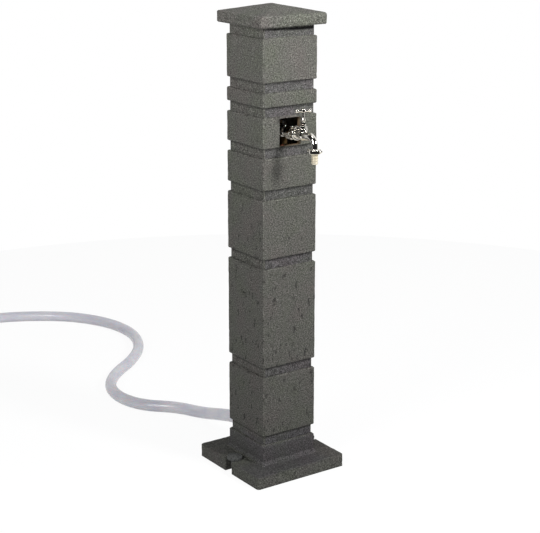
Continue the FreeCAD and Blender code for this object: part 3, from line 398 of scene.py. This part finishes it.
def clean_copy(node):
    """A CAD node's shape as one joined mesh of flat faces."""
    bm = bmesh.new()
    bm.from_mesh(frame["nodes"][node].data)
    bmesh.ops.remove_doubles(bm, verts=bm.verts, dist=0.001 * MM)
    bmesh.ops.dissolve_limit(bm, angle_limit=math.radians(0.5), verts=bm.verts, edges=bm.edges)
    return bm


def reach_of(face, axis):
    """A face's lowest and highest coordinate along an axis."""
    places = [vert.co[axis] for vert in face.verts]
    return min(places), max(places)


def cut_finely(bm, wanted, step):
    """Cuts the wanted faces into squares of about the step, by planes across each axis."""
    for axis in (2, 0, 1):
        spans = [(face, *reach_of(face, axis)) for face in bm.faces if wanted(face)]
        wide = [span for span in spans if span[2] - span[1] > 1.4 * step]
        low = min(span[1] for span in wide)
        high = max(span[2] for span in wide)
        normal = Vector((0, 0, 0))
        normal[axis] = 1
        pending = [span[0] for span in wide]
        count = round((high - low) / step)
        for i in range(1, count):
            at = low + (high - low) * i / count
            edges = {edge for face in pending for edge in face.edges}
            verts = {vert for face in pending for vert in face.verts}
            cut = bmesh.ops.bisect_plane(bm, geom=[*pending, *edges, *verts], dist=1e-7,
                                         plane_co=normal * at, plane_no=normal)
            pending = [face for face in cut["geom"] if isinstance(face, bmesh.types.BMFace)
                       and reach_of(face, axis)[1] > at + 1e-7]


def fade(value, low, high):
    """0 below low, 1 above high, and smooth between them."""
    share = min(max((value - low) / (high - low), 0.0), 1.0)
    return share * share * (3 - 2 * share)


def wear(place, normal):
    """How far the weather has moved a point of the stone's skin, along its normal."""
    wave = noise.noise(place / (60 * MM)) * 0.45
    lumps = noise.noise(place / (17 * MM) + Vector((7, 3, 1))) * 0.35
    grains = noise.noise(place / (5.5 * MM)) * 0.16
    flatness = max(abs(normal.x), abs(normal.y), abs(normal.z))
    edge = fade(1 - flatness, 0.02, 0.2)
    chips = fade(noise.noise(place / (10 * MM) + Vector((2, 9, 4))), 0.1, 0.5) * edge * 1.3
    tall = Vector((place.x / (4.2 * MM), place.y / (4.2 * MM), place.z / (14 * MM)))
    low_down = fade(0.62 - place.z, 0.0, 0.25)
    pits = fade(noise.noise(tall), 0.46, 0.6) * (0.4 + 1.2 * low_down)
    pits *= fade(place.z, 92 * MM, 100 * MM)
    return (wave + lumps + grains - chips - pits) * MM, pits


def shade_and_dirt_line(vert, groove, front, ledges):
    """Painted shade and dirt in a groove, in a thin line under the ledge above, and a wide
    painted shadow under the cap.
    """
    x, _, z = vert.co
    below = min((ledge - z for ledge in ledges if ledge > z - 0.5 * MM), default=1.0)
    line = groove * (1 - fade(below, 2.5 * MM, 5 * MM))
    # Painted shadow of the gap under the cap, on the front, widening to the right.
    if z > TOP_GROOVE:
        gap = (5.5 + 4 * fade(x, -60 * MM, 60 * MM)) * MM
        shaded = fade(x, -60 * MM, -30 * MM) * (1 - fade(below, gap, gap + 1.5 * MM))
        line += 1.8 * groove * front * shaded
    return line


def plinth_share(vert):
    """How much a point has of the plinth's violet grey, which runs out on the plate's ends."""
    x, y, z = vert.co
    share = fade(z, PLATE_TOP - 3 * MM, PLATE_TOP) * (1 - fade(z, PLINTH_TOP, NECK_TOP))
    plate_ends = max(fade(x, 45 * MM, 85 * MM), fade(y, -60 * MM, -20 * MM))
    return share * (1 - plate_ends * (1 - fade(z, PLATE_TOP + MM, PLATE_TOP + 4 * MM)))


def shading_and_stains(vert, pits, ledges):
    """How light a point of the stone's skin is drawn, by painted light and shade and by dirt
    lines, and how much it is a darker violet grey.
    """
    x, y, z = vert.co
    recess = POST_HALF - max(abs(x), abs(y))
    groove = fade(recess, 2.5 * MM, 4.2 * MM) * fade(z, PLINTH_TOP - 4 * MM, PLINTH_TOP)
    groove *= 1 - fade(z, POST_TOP - MM, POST_TOP)
    flatness = max(abs(value) for value in vert.normal)
    # Painted highlight on edges that don't face down, partly rubbed wear; painted shade on faces
    # turned down; pits drawn darker.
    worn_edge_highlight = fade(1 - flatness, 0.02, 0.2) * fade(vert.normal.z, -0.3, 0.0)
    under = fade(-vert.normal.z, 0.2, 0.7)
    front = fade(-vert.normal.y, 0.3, 0.7)
    left = fade(-vert.normal.x, 0.3, 0.7)
    plinth = plinth_share(vert)
    light = 1.0 + 0.26 * worn_edge_highlight - 0.4 * under - 0.6 * min(pits, 1.0)
    # Painted light: the plinth's faces turned left are drawn lighter, its others a little darker.
    light += plinth * (0.2 * left - 0.03)
    # Painted shade and dirt in a line under each ledge, and a painted shadow under the cap.
    light *= 1 - min(0.96, 0.55 * shade_and_dirt_line(vert, groove, front, ledges))
    return light, min(1.0, 0.7 * groove * front + 0.8 * plinth)


def weathered(node, name, wanted, hold, cover=None, raw_inside=False):
    """A stone piece with worn edges and pits. hold says how free a point is to move, 0 to 1.

    Painted shade and dirt gather in a thin line under each block and under the piece above, at
    height cover."""
    bm = clean_copy(node)
    cut_finely(bm, wanted, SKIN_STEP)
    bm.normal_update()
    ledges = {round(face.verts[0].co.z, 4) for face in bm.faces if face.normal.z < -0.95}
    if cover:
        ledges.add(cover)
    # Per point: painted light and shade with dirt lines, the darker violet grey, and the raw
    # brown inside.
    painted_light_and_dirt = bm.verts.layers.float.new("painted_light_and_dirt")
    darker_violet = bm.verts.layers.float.new("darker_violet")
    bare = bm.verts.layers.float.new("bare")
    moves = []
    for vert in bm.verts:
        if all(wanted(face) for face in vert.link_faces):
            move, pits = wear(vert.co, vert.normal)
            moves.append((vert, vert.normal * (move * hold(vert.co))))
            vert[painted_light_and_dirt], vert[darker_violet] = shading_and_stains(vert, pits, ledges)
        else:
            reach = max(abs(vert.co.x), abs(vert.co.y))
            vert[painted_light_and_dirt] = 1.0
            vert[bare] = 1 - fade(reach, HOLLOW_HALF, 60 * MM) if raw_inside else 0.0
    for vert, move in moves:
        vert.co += move
    placed_piece(bm, name, node, smooth_angle=50)


def nearest_reach(face):
    """How far a face stays from the column's axis, square measure."""
    return min(max(abs(vert.co.x), abs(vert.co.y)) for vert in face.verts)


def make_post():
    """Grooved post. Its skin is worn, and its hollow keeps the raw brown face of a casting."""
    low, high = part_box("stone_post")

    def outside(face):
        end = abs(face.normal.z) >= 0.999 and not (
            low.z + MM < face.verts[0].co.z < high.z - MM)
        return nearest_reach(face) > CORE_HALF - HAIR and not end

    def hold(place):
        rims = min(place.z - low.z, high.z - place.z)
        return fade(rims, 0, 6 * MM)

    weathered("stone_post", "stone_column", outside, hold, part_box("cap_pads")[1].z,
              raw_inside=True)


def make_base():
    """Plate, plinth and neck. The stone stays as it is where the knobs and the inlet sit."""
    def outside(face):
        return nearest_reach(face) > CORE_HALF - HAIR and reach_of(face, 2)[1] > HAIR

    def hold(place):
        inlet = fade(place.y, 55 * MM, 62 * MM) * (1 - fade(abs(place.x), 18 * MM, 24 * MM))
        from_knob = math.hypot(abs(place.x) - KNOB_X * MM, place.y)
        ends = fade(place.z, 0, 5 * MM) * fade(NECK_TOP - place.z, 0, 5 * MM)
        return ends * (1 - inlet) * fade(from_knob, 18 * MM, 24 * MM)

    weathered("base_plinth", "stone_base", outside, hold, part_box("stone_post")[0].z)


def make_cap():
    """Slab with its low pyramid. Its underside and its skirt keep their shape."""
    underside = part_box("pyramid_cap")[1].z - CAP_HEIGHT

    def outside(face):
        above = reach_of(face, 2)[0] > underside - HAIR
        outer = nearest_reach(face) > 52.5 * MM or face.normal.z > 0.1
        return above and face.normal.z > -0.9 and outer

    def hold(place):
        return fade(place.z - underside, 0, 4 * MM)

    weathered("pyramid_cap", "stone_cap", outside, hold)


def eased(profile, ease, looped=False):
    """The profile with its corners rounded off. An open profile keeps its two ends."""
    points = [Vector(point) for point in profile]
    count = len(points)
    result = []
    for i, corner in enumerate(points):
        if not looped and i in (0, count - 1):
            result.append(corner)
            continue
        back = points[i - 1] - corner
        ahead = points[(i + 1) % count] - corner
        cut = min(ease, 0.45 * back.length, 0.45 * ahead.length)
        first = corner + back.normalized() * cut
        last = corner + ahead.normalized() * cut
        for k in range(4):
            share = k / 3
            result.append(first * (1 - share) ** 2 + corner * 2 * share * (1 - share)
                          + last * share ** 2)
    return result


def divided(points, step, looped=False):
    """The same line with points added, so that no two neighbours are farther than the step."""
    result = [points[0]]
    for place in points[1:] + (points[:1] if looped else []):
        start = result[-1]
        count = max(1, math.ceil((place - start).length / step))
        result += [start.lerp(place, k / count) for k in range(1, count + 1)]
    return result[:-1] if looped else result


def spun(profile, origin, direction, ease=0.3, sides=96, looped=False, step=None, shape=None):
    """A turned piece: (radius, height) pairs in millimetres, spun about an axis.

    shape may change a point's radius, by its angle and height, for nuts and grips."""
    points = eased(profile, ease, looped)
    if step:
        points = divided(points, step, looped)
    bm = bmesh.new()
    verts = [bm.verts.new((point.x * MM, 0, point.y * MM)) for point in points]
    edges = [bm.edges.new(pair) for pair in zip(verts, verts[1:] + (verts[:1] if looped else []))]
    bmesh.ops.spin(bm, geom=[*verts, *edges], cent=(0, 0, 0), axis=UP, angle=math.tau,
                   steps=sides, use_merge=True)
    bmesh.ops.remove_doubles(bm, verts=bm.verts, dist=0.0005 * MM)
    for vert in bm.verts:
        radius = math.hypot(vert.co.x, vert.co.y)
        if shape and radius > 0.01 * MM:
            angle = math.atan2(vert.co.y, vert.co.x)
            grown = shape(radius / MM, angle, vert.co.z / MM) * MM / radius
            vert.co.x *= grown
            vert.co.y *= grown
    turn = Vector(direction).to_track_quat("Z", "Y").to_matrix().to_4x4()
    bmesh.ops.transform(bm, matrix=Matrix.Translation(origin) @ turn, verts=bm.verts)
    return bm


def hexagon(across, low, high, turn=0.0):
    """Shape of a turned piece whose wall between two heights is pressed to a hexagon."""
    def shape(radius, angle, height):
        if not low <= height <= high:
            return radius
        off = (angle - math.radians(turn)) % (math.pi / 3) - math.pi / 6
        return min(radius, across / 2 / math.cos(off))

    return shape


def gathered(*shapes):
    """One mesh that holds several shapes."""
    whole = bmesh.new()
    for bm in shapes:
        mesh = bpy.data.meshes.new("shape")
        bmesh.ops.recalc_face_normals(bm, faces=bm.faces)
        bm.to_mesh(mesh)
        bm.free()
        whole.from_mesh(mesh)
        bpy.data.meshes.remove(mesh)
    return whole


def cast(bm, grain, passes, hollow=None):
    """Shapes grown into one skin with soft inner corners, as a casting has."""
    mesh = bpy.data.meshes.new("cast")
    bm.to_mesh(mesh)
    bm.free()
    holder = bpy.data.objects.new("cast", mesh)
    bpy.context.scene.collection.objects.link(holder)
    skin = holder.modifiers.new("skin", "REMESH")
    skin.mode = "VOXEL"
    skin.voxel_size = grain * MM
    soft = holder.modifiers.new("soft", "SMOOTH")
    soft.factor = 0.5
    soft.iterations = passes
    if hollow:
        room = bpy.data.meshes.new("room")
        bmesh.ops.recalc_face_normals(hollow, faces=hollow.faces)
        hollow.to_mesh(room)
        hollow.free()
        tool = bpy.data.objects.new("room", room)
        bpy.context.scene.collection.objects.link(tool)
        cut = holder.modifiers.new("cut", "BOOLEAN")
        cut.object = tool
        cut.operation = "DIFFERENCE"
        cut.solver = "EXACT"
    result = bmesh.new()
    result.from_object(holder, bpy.context.evaluated_depsgraph_get())
    bpy.data.objects.remove(holder)
    if hollow:
        bpy.data.objects.remove(tool)
    return result


def ball(radius, place):
    """A ball of the given radius in millimetres."""
    bm = bmesh.new()
    bmesh.ops.create_uvsphere(bm, u_segments=48, v_segments=24, radius=radius * MM,
                              matrix=Matrix.Translation(place))
    return bm


def make_tap_body():
    """Cast body: union tail, collar, ball chest, tapered barrel and bent spout."""
    length = spun([(0, 3.5), (9.5, 3.5), (9.5, 6), (8, 6), (8, 19), (12.6, 19), (13.5, 20),
                   (13.5, 24), (12.6, 25), (9, 25), (9, CHEST_REACH),
                   (BARREL_RADIUS, BEND_REACH), (0, BEND_REACH)], TAP_AXIS, OUT, ease=0.5)
    chest = TAP_AXIS + OUT * CHEST_REACH * MM
    neck = spun([(0, 0), (7.8, 0), (7.8, 12.5), (0, 12.5)], chest, UP)
    corner = TAP_AXIS + OUT * BEND_REACH * MM + DOWN * SPOUT_BEND * MM
    steps = 18
    bend = []
    for k in range(steps + 1):
        turn = math.radians(90 * k / steps)
        bend.append(corner + (UP * math.cos(turn) + OUT * math.sin(turn)) * SPOUT_BEND * MM)
    radii = [(BARREL_RADIUS + (SPOUT_RADIUS - BARREL_RADIUS) * k / steps) * MM
             for k in range(steps + 1)]
    elbow = tube_along(bend, radii, 48, "around")
    outlet = bend[-1]
    straight = spun([(0, 0.5), (SPOUT_RADIUS, 0.5), (SPOUT_RADIUS, -4), (0, -4)], outlet, UP)
    thread = spun([(0, -3.7), (10.45, -3.7), (10.45, -7.7), (0, -7.7)], outlet, UP, ease=0.4)
    room = spun([(0, 2.2), (6, 2.2), (6, 14), (0, 14)], chest, UP, ease=0.05)
    body = cast(gathered(length, ball(10.2, chest), neck, elbow, straight, thread), 0.42, 5, room)
    piece_from(body, "tap_casting", "tap_body", smooth_angle=40)


def teeth(crest, start, count, depth=0.85):
    """Profile of a pipe thread's ridges, 14 to the inch."""
    points = []
    for k in range(count):
        low = start + k * THREAD_PITCH
        points += [(crest - depth, low), (crest, low + 0.7), (crest, low + 1.0),
                   (crest - depth, low + 1.7)]
    return points


def make_tap_fittings():
    """The pieces that are turned, from the wall outwards and then from the body upwards."""
    bm = spun([(5, -34), (10.45, -34), (10.45, -21), (12, -21), (12, -13), (11, -12),
               *teeth(10.45, -11.8, 5), (9.6, -2), (10.45, -1.5), (10.45, 2), (5, 2)],
              TAP_AXIS, OUT, ease=0.2, looped=True)
    piece_from(bm, "tap_barrel", "tap_extension")
    bm = spun([(10.55, -6), (13.3, -6), (15.01, -4.6), (15.01, 12.1), (13.3, 13.5),
               (8.35, 13.5), (8.35, 6), (10.55, 6)], TAP_AXIS, OUT, ease=0.35, looped=True,
              step=0.7, shape=hexagon(26, -5.99, 13.49))
    piece_from(bm, "hexagon_union", "union_nut", smooth_angle=28)
    top = TAP_AXIS + OUT * CHEST_REACH * MM + UP * 12.5 * MM
    bm = spun([(3.3, -3), (5.95, -3), (5.95, 0), (7.8, 0), (7.8, 5.4), (6.9, 6), (4.8, 6),
               (4.8, 9.4), (3.45, 9.4), (3.45, 6.1), (2.3, 6.1), (2.3, 5.7), (3.3, 5.7)],
              top, UP, ease=0.25, looped=True, step=0.4,
              shape=hexagon(13.5, 1.5, 5.99, 15))
    piece_from(bm, "headwork", "bonnet", smooth_angle=28)
    bm = spun([(2.3, 8.1), (3.4, 8.1), (3.4, 9.4), (4.3, 9.4), (4.85, 9.9), (4.85, 12.9),
               (4.3, 13.4), (3.5, 13.4), (3.5, 15.4), (4.3, 16.2), (4.3, 17.9), (3.8, 18.4),
               (3, 21.4), (2.3, 21.4)], top, UP, ease=0.2, looped=True, step=0.35,
              shape=hexagon(8.4, 9.41, 13.39, 5))
    piece_from(bm, "gland", "gland_nut", smooth_angle=28)


def make_handle():
    """Tee bar with ball ends through a round hub, cast in one."""
    centre = TAP_AXIS + OUT * CHEST_REACH * MM + UP * HANDLE_HEIGHT * MM
    along = Vector((math.cos(HANDLE_ANGLE), math.sin(HANDLE_ANGLE), 0))
    hub = spun([(0, -3.3), (3.1, -3.3), (3.7, -2.6), (3.7, 2.6), (3.1, 3.3), (0, 3.3)],
               centre, UP, ease=0.5, sides=64)
    bar = spun([(0, -13.5), (2.7, -13.5), (2.7, 13.5), (0, 13.5)], centre, along, sides=48)
    ends = [ball(3.8, centre + along * side * 13.45 * MM) for side in (1, -1)]
    piece_from(cast(gathered(hub, bar, *ends), 0.22, 5), "tee_bar", "tee_handle",
               smooth_angle=40)


def make_outlet():
    """The outlet's union nut with its two lugs, and the ribbed hose tail below it."""
    lug_middle, lug_half = 0.5, 2.8

    def lugs(radius, angle, height):
        if radius < 11.5:
            return radius
        across = math.sin(angle - OUTLET_LUG_ANGLE) * radius
        away = math.hypot(across, height - lug_middle) / lug_half
        if away >= 1:
            return radius
        return radius + (LUG_REACH - radius) * (1 - away ** 3) ** (1 / 3)

    bm = spun([(10.8, 3.5), (11.7, 3.5), (12.5, 2.7), (12.5, -3.7), (11.7, -4.5),
               (7.05, -4.5), (7.05, -3), (10.8, -3)], OUTLET_END, UP, ease=0.35, sides=160,
              looped=True, step=0.35, shape=lugs)
    piece_from(bm, "lugged_nut", "outlet_nut", smooth_angle=50)
    ribs = []
    for k in range(4):
        low = 6.5 + k * 4.8
        ribs += [(6.7, -low - 0.4), (6.7, -low - 2.9), (5.7, -low - 3.85), (5.7, -low - 4.75)]
    bm = spun([(4.25, -1.5), (10, -1.5), (10, -3), (6.7, -3), (6.7, -5.1), (5, -5.1),
               (5, -6.5), *ribs, (4.25, -25.7)], OUTLET_END, UP, ease=0.3, looped=True)
    tail = piece_from(bm, "ribbed_tail", "hose_tail")
    tail.data.materials[0] = satin_finish()


def make_knobs():
    """Fluted ground knobs: dished top, a sleeve with an open bore below."""
    def flute(angle):
        return (0.5 + 0.5 * math.cos(KNOB_FLUTES * angle)) ** 1.5

    def grip(radius, angle, height):
        if height < 0.02:
            return radius
        return radius - 1.25 * flute(angle) * fade(radius, 13, 15)

    for side, name in ((-1, "ground_knob_left"), (1, "ground_knob_right")):
        place = mm(side * KNOB_X, 0, KNOB_Z)
        bm = spun([(0, 3), (4.25, 3), (4.25, -19), (7, -19), (8, -18), (8, 0), (16, 0.3),
                   (16, 6), (14, 8), (13, 8), (12, 6.5), (5, 6.5), (4.4, 7.1), (0, 7.3)],
                  place, UP, ease=0.5, sides=192, step=1.0, shape=grip)
        for vert in bm.verts:
            arm = vert.co - place
            dent = flute(math.atan2(arm.y, arm.x)) * fade(math.hypot(arm.x, arm.y) / MM, 7, 13)
            vert.co.z -= 1.6 * MM * dent * fade(arm.z, 3 * MM, 6 * MM)
        piece_from(bm, name.replace("ground", "fluted"), name, smooth_angle=40)


def make_nipple(face, heading):
    """Brass end fitting: hexagon and a threaded stub with its bore open."""
    bm = spun([(8, 0), (12.4, 0), (13.28, 0.5), (13.28, 7.5), (12.4, 8), (12, 8.1),
               *teeth(13.2, 8.6, 7, 1.1),
               (12, 22), (8, 22)], face, heading, ease=0.15, looped=True, step=1.2,
              shape=hexagon(23, 0.01, 7.99, 0))
    return piece_from(bm, "threaded_nipple", "hose_nipple", smooth_angle=28)


def soften_cad_nodes():
    """CAD nodes that no piece stands for get small rounded edges."""
    for node, piece in frame["nodes"].items():
        if node in REPLACED:
            continue
        weld = piece.modifiers.new("weld", "WELD")
        weld.merge_threshold = 0.002 * MM
        edge = piece.modifiers.new("edge", "BEVEL")
        edge.width = 0.25 * MM
        edge.segments = 2
        edge.limit_method = "ANGLE"
        edge.angle_limit = math.radians(35)


def hose_points():
    """Control points of the hose's whole centreline: its route, then the coil by a loop."""
    points = [mm(*point) for point in HOSE_ROUTE]
    heading = (points[-1] - points[-2]).normalized()
    place = points[-1] + heading * COIL_LEAD * MM
    for radius, turn in COIL_ARCS:
        centre = place - UP.cross(heading) * radius * MM
        half = Matrix.Rotation(math.radians(-COIL_STEP / 2), 3, "Z")
        step = Matrix.Rotation(math.radians(-COIL_STEP), 3, "Z")
        arm = half @ (place - centre) / math.cos(math.radians(COIL_STEP / 2))
        for _ in range(round(turn / COIL_STEP)):
            points.append(centre + arm)
            arm = step @ arm
        full = Matrix.Rotation(math.radians(-turn), 3, "Z")
        place = centre + full @ (place - centre)
        heading = full @ heading
    points.append(place + heading * COIL_END * MM)
    return points


def spline_line(points):
    """The smooth line of the control points, as a list of places along it."""
    curve = bpy.data.curves.new("hose_line", "CURVE")
    curve.dimensions = "3D"
    curve.resolution_u = 12
    spline = curve.splines.new("NURBS")
    spline.points.add(len(points) - 1)
    for target, point in zip(spline.points, points):
        target.co = (*point, 1)
    spline.order_u = 3
    spline.use_endpoint_u = True
    holder = bpy.data.objects.new("hose_line", curve)
    bpy.context.scene.collection.objects.link(holder)
    mesh = bpy.data.meshes.new_from_object(holder)
    line = [vert.co.copy() for vert in mesh.vertices]
    bpy.data.objects.remove(holder)
    bpy.data.curves.remove(curve)
    bpy.data.meshes.remove(mesh)
    return line


def evenly(line, step):
    """Places along a line at about equal steps, its two ends included, and its length."""
    lengths = [0.0]
    for a, b in zip(line, line[1:]):
        lengths.append(lengths[-1] + (b - a).length)
    count = round(lengths[-1] / step)
    places = []
    i = 0
    for k in range(count + 1):
        at = lengths[-1] * k / count
        while i < len(line) - 2 and lengths[i + 1] < at:
            i += 1
        share = (at - lengths[i]) / (lengths[i + 1] - lengths[i])
        places.append(line[i].lerp(line[i + 1], share))
    return places, lengths[-1]


def extruded(bm, ring):
    """Extrudes a closed ring of edges in place, and pairs each old vertex with its new one."""
    old = set(ring)
    edges = [edge for edge in {edge for vert in ring for edge in vert.link_edges}
             if old.issuperset(edge.verts)]
    grown = bmesh.ops.extrude_edge_only(bm, edges=edges)["geom"]
    fresh = [part for part in grown if isinstance(part, bmesh.types.BMVert)]
    return {edge.other_vert(vert): vert for vert in fresh for edge in vert.link_edges
            if edge.other_vert(vert) in old}


def map_ring(uv, ring, following, along, step):
    """Gives the faces between two rings their turn round the tube and their place along it."""
    for k, vert in enumerate(ring):
        onward = ring[(k + 1) % len(ring)]
        late = (following[vert], following[onward])
        turned = (onward, following[onward])
        for face in set(vert.link_faces) & set(onward.link_faces) & set(late[0].link_faces):
            for loop in face.loops:
                loop[uv].uv = ((k + (loop.vert in turned)) / len(ring),
                               along + step * (loop.vert in late))


def tube_along(line, radii, sides, uv_name):
    """A closed tube round a line, with its length and its turn kept as a UV map."""
    bm = bmesh.new()
    uv = bm.loops.layers.uv.new(uv_name)
    bmesh.ops.create_circle(bm, segments=sides, radius=1)
    bm.verts.ensure_lookup_table()
    shape = [vert.co.copy() for vert in bm.verts]
    ring = list(bm.verts)
    side = None
    along = 0.0
    for i, place in enumerate(line):
        ahead = line[min(i + 1, len(line) - 1)] - line[max(i - 1, 0)]
        heading = ahead.normalized()
        if side is None:
            side = UP.cross(heading).normalized()
        side = (side - heading * side.dot(heading)).normalized()
        rise = heading.cross(side)
        if i > 0:
            step = (place - line[i - 1]).length
            following = extruded(bm, ring)
            map_ring(uv, ring, following, along, step)
            ring = [following[vert] for vert in ring]
            along += step
        for vert, spot in zip(ring, shape):
            vert.co = place + (side * spot.x + rise * spot.y) * radii[i]
    bmesh.ops.holes_fill(bm, edges=bm.edges, sides=0)
    return bm


def make_hose():
    """The supply hose, from the inlet to its ferrule, and the nipple on its end."""
    points = hose_points()
    heading = (points[-1] - points[-2]).normalized()
    line, length = evenly(spline_line(points), HOSE_STEP)
    bm = tube_along(line, [HOSE_RADIUS] * len(line), HOSE_SIDES, "hose")
    hose = piece_from(bm, "supply_hose", "hose_run", "hose_coil")
    nipple = make_nipple(points[-1] + heading * FERRULE_LENGTH, heading)


def math_node(tree, operation, first, second):
    """A math node that joins an output with another output or a plain value."""
    node = tree.nodes.new("ShaderNodeMath")
    node.operation = operation
    tree.links.new(first, node.inputs[0])
    if isinstance(second, bpy.types.NodeSocket):
        tree.links.new(second, node.inputs[1])
    else:
        node.inputs[1].default_value = second
    return node.outputs["Value"]


def mix_shaders(tree, share, first, second):
    node = tree.nodes.new("ShaderNodeMixShader")
    tree.links.new(share, node.inputs["Fac"])
    tree.links.new(first, node.inputs[1])
    tree.links.new(second, node.inputs[2])
    return node.outputs["Shader"]


def make_stage():
    """Pale floor that reads white in the picture and in reflections, and keeps a faint shadow."""
    bm = bmesh.new()
    bmesh.ops.create_circle(bm, cap_ends=True, segments=64, radius=FLOOR_RADIUS)
    mesh = bpy.data.meshes.new("floor")
    bm.to_mesh(mesh)
    bm.free()
    floor = bpy.data.objects.new("floor", mesh)
    floor.location.z = -FLOOR_DROP
    bpy.context.scene.collection.objects.link(floor)
    pale = bpy.data.materials.new("pale_floor")
    pale.use_nodes = True
    tree = pale.node_tree
    shader = tree.nodes["Principled BSDF"]
    shader.inputs["Base Color"].default_value = (0.86, 0.86, 0.86, 1)
    shader.inputs["Roughness"].default_value = 0.9
    glow = tree.nodes.new("ShaderNodeEmission")
    rays = tree.nodes.new("ShaderNodeLightPath").outputs
    seen = math_node(tree, "MAXIMUM", rays["Is Camera Ray"], rays["Is Glossy Ray"])
    seen = math_node(tree, "MAXIMUM", seen, rays["Is Transmission Ray"])
    share = math_node(tree, "MULTIPLY", seen, 0.93)
    blend = mix_shaders(tree, share, shader.outputs["BSDF"], glow.outputs["Emission"])
    tree.links.new(blend, tree.nodes["Material Output"].inputs["Surface"])
    floor.data.materials.append(pale)


def soft_light(name, place, target, size, power):
    """A rectangular lamp that faces the target."""
    data = bpy.data.lights.new(name, "AREA")
    data.shape = "RECTANGLE"
    data.size, data.size_y = size
    data.energy = power
    lamp = bpy.data.objects.new(name, data)
    lamp.location = place
    lamp.rotation_euler = (Vector(target) - Vector(place)).to_track_quat("-Z", "Y").to_euler()
    bpy.context.scene.collection.objects.link(lamp)


def white_light(tree):
    node = tree.nodes.new("ShaderNodeBackground")
    node.inputs["Color"].default_value = (1, 1, 1, 1)
    return node


def backdrop_share(tree):
    """1 towards the backdrop behind the object, falling to near 0 on the camera's side."""
    place = tree.nodes.new("ShaderNodeTexCoord")
    ahead = tree.nodes.new("ShaderNodeVectorMath")
    ahead.operation = "DOT_PRODUCT"
    yaw = math.radians(CAMERA_YAW)
    ahead.inputs[1].default_value = (math.sin(yaw), math.cos(yaw), 0)
    tree.links.new(place.outputs["Generated"], ahead.inputs[0])
    share = tree.nodes.new("ShaderNodeMapRange")
    share.interpolation_type = "SMOOTHSTEP"
    for socket, value in (("From Min", 0.05), ("From Max", 0.3), ("To Min", 0.02),
                          ("To Max", 1.0)):
        share.inputs[socket].default_value = value
    tree.links.new(ahead.outputs["Value"], share.inputs["Value"])
    return share.outputs["Result"]


def make_world():
    """White for the camera, and in metal the white backdrop with the dark studio before it."""
    world = bpy.data.worlds.new("studio")
    bpy.context.scene.world = world
    world.use_nodes = True
    tree = world.node_tree
    fill = tree.nodes["Background"]
    fill.inputs["Color"].default_value = (0.94, 0.96, 1.0, 1)
    fill.inputs["Strength"].default_value = 0.42
    white, mirrored = white_light(tree), white_light(tree)
    tree.links.new(backdrop_share(tree), mirrored.inputs["Strength"])
    rays = tree.nodes.new("ShaderNodeLightPath").outputs
    metal = mix_shaders(tree, rays["Is Glossy Ray"], fill.outputs["Background"],
                        mirrored.outputs["Background"])
    seen = math_node(tree, "MAXIMUM", rays["Is Camera Ray"], rays["Is Transmission Ray"])
    blend = mix_shaders(tree, seen, metal, white.outputs["Background"])
    tree.links.new(blend, tree.nodes["World Output"].inputs["Surface"])


def make_camera():
    """The photograph's camera."""
    data = bpy.data.cameras.new("camera")
    data.lens = CAMERA_LENS
    data.sensor_width = CAMERA_SENSOR
    camera = bpy.data.objects.new("camera", data)
    camera.location = CAMERA_PLACE
    camera.rotation_euler = (math.radians(90 - CAMERA_PITCH), 0, math.radians(-CAMERA_YAW))
    bpy.context.scene.collection.objects.link(camera)
    bpy.context.scene.camera = camera


def make_lights():
    """A key lamp before the tap's right, a wide one on the left face and a faint one above."""
    soft_light("key", (0.7, -1.9, 1.75), (0, 0, 0.7), (0.36, 0.48), 63)
    soft_light("left", (-2.1, -0.7, 1.5), (0, 0, 0.6), (0.7, 1.1), 35)
    soft_light("top", (-0.2, -0.4, 2.9), (0, 0, 0.5), (0.8, 0.8), 8)


make_camera()
finish_cad_nodes()
make_hose()
make_post()
make_base()
make_cap()
make_tap_body()
make_tap_fittings()
make_handle()
make_outlet()
make_knobs()
soften_cad_nodes()
make_stage()
make_world()
make_lights()
bpy.context.scene.view_settings.view_transform = "Standard"
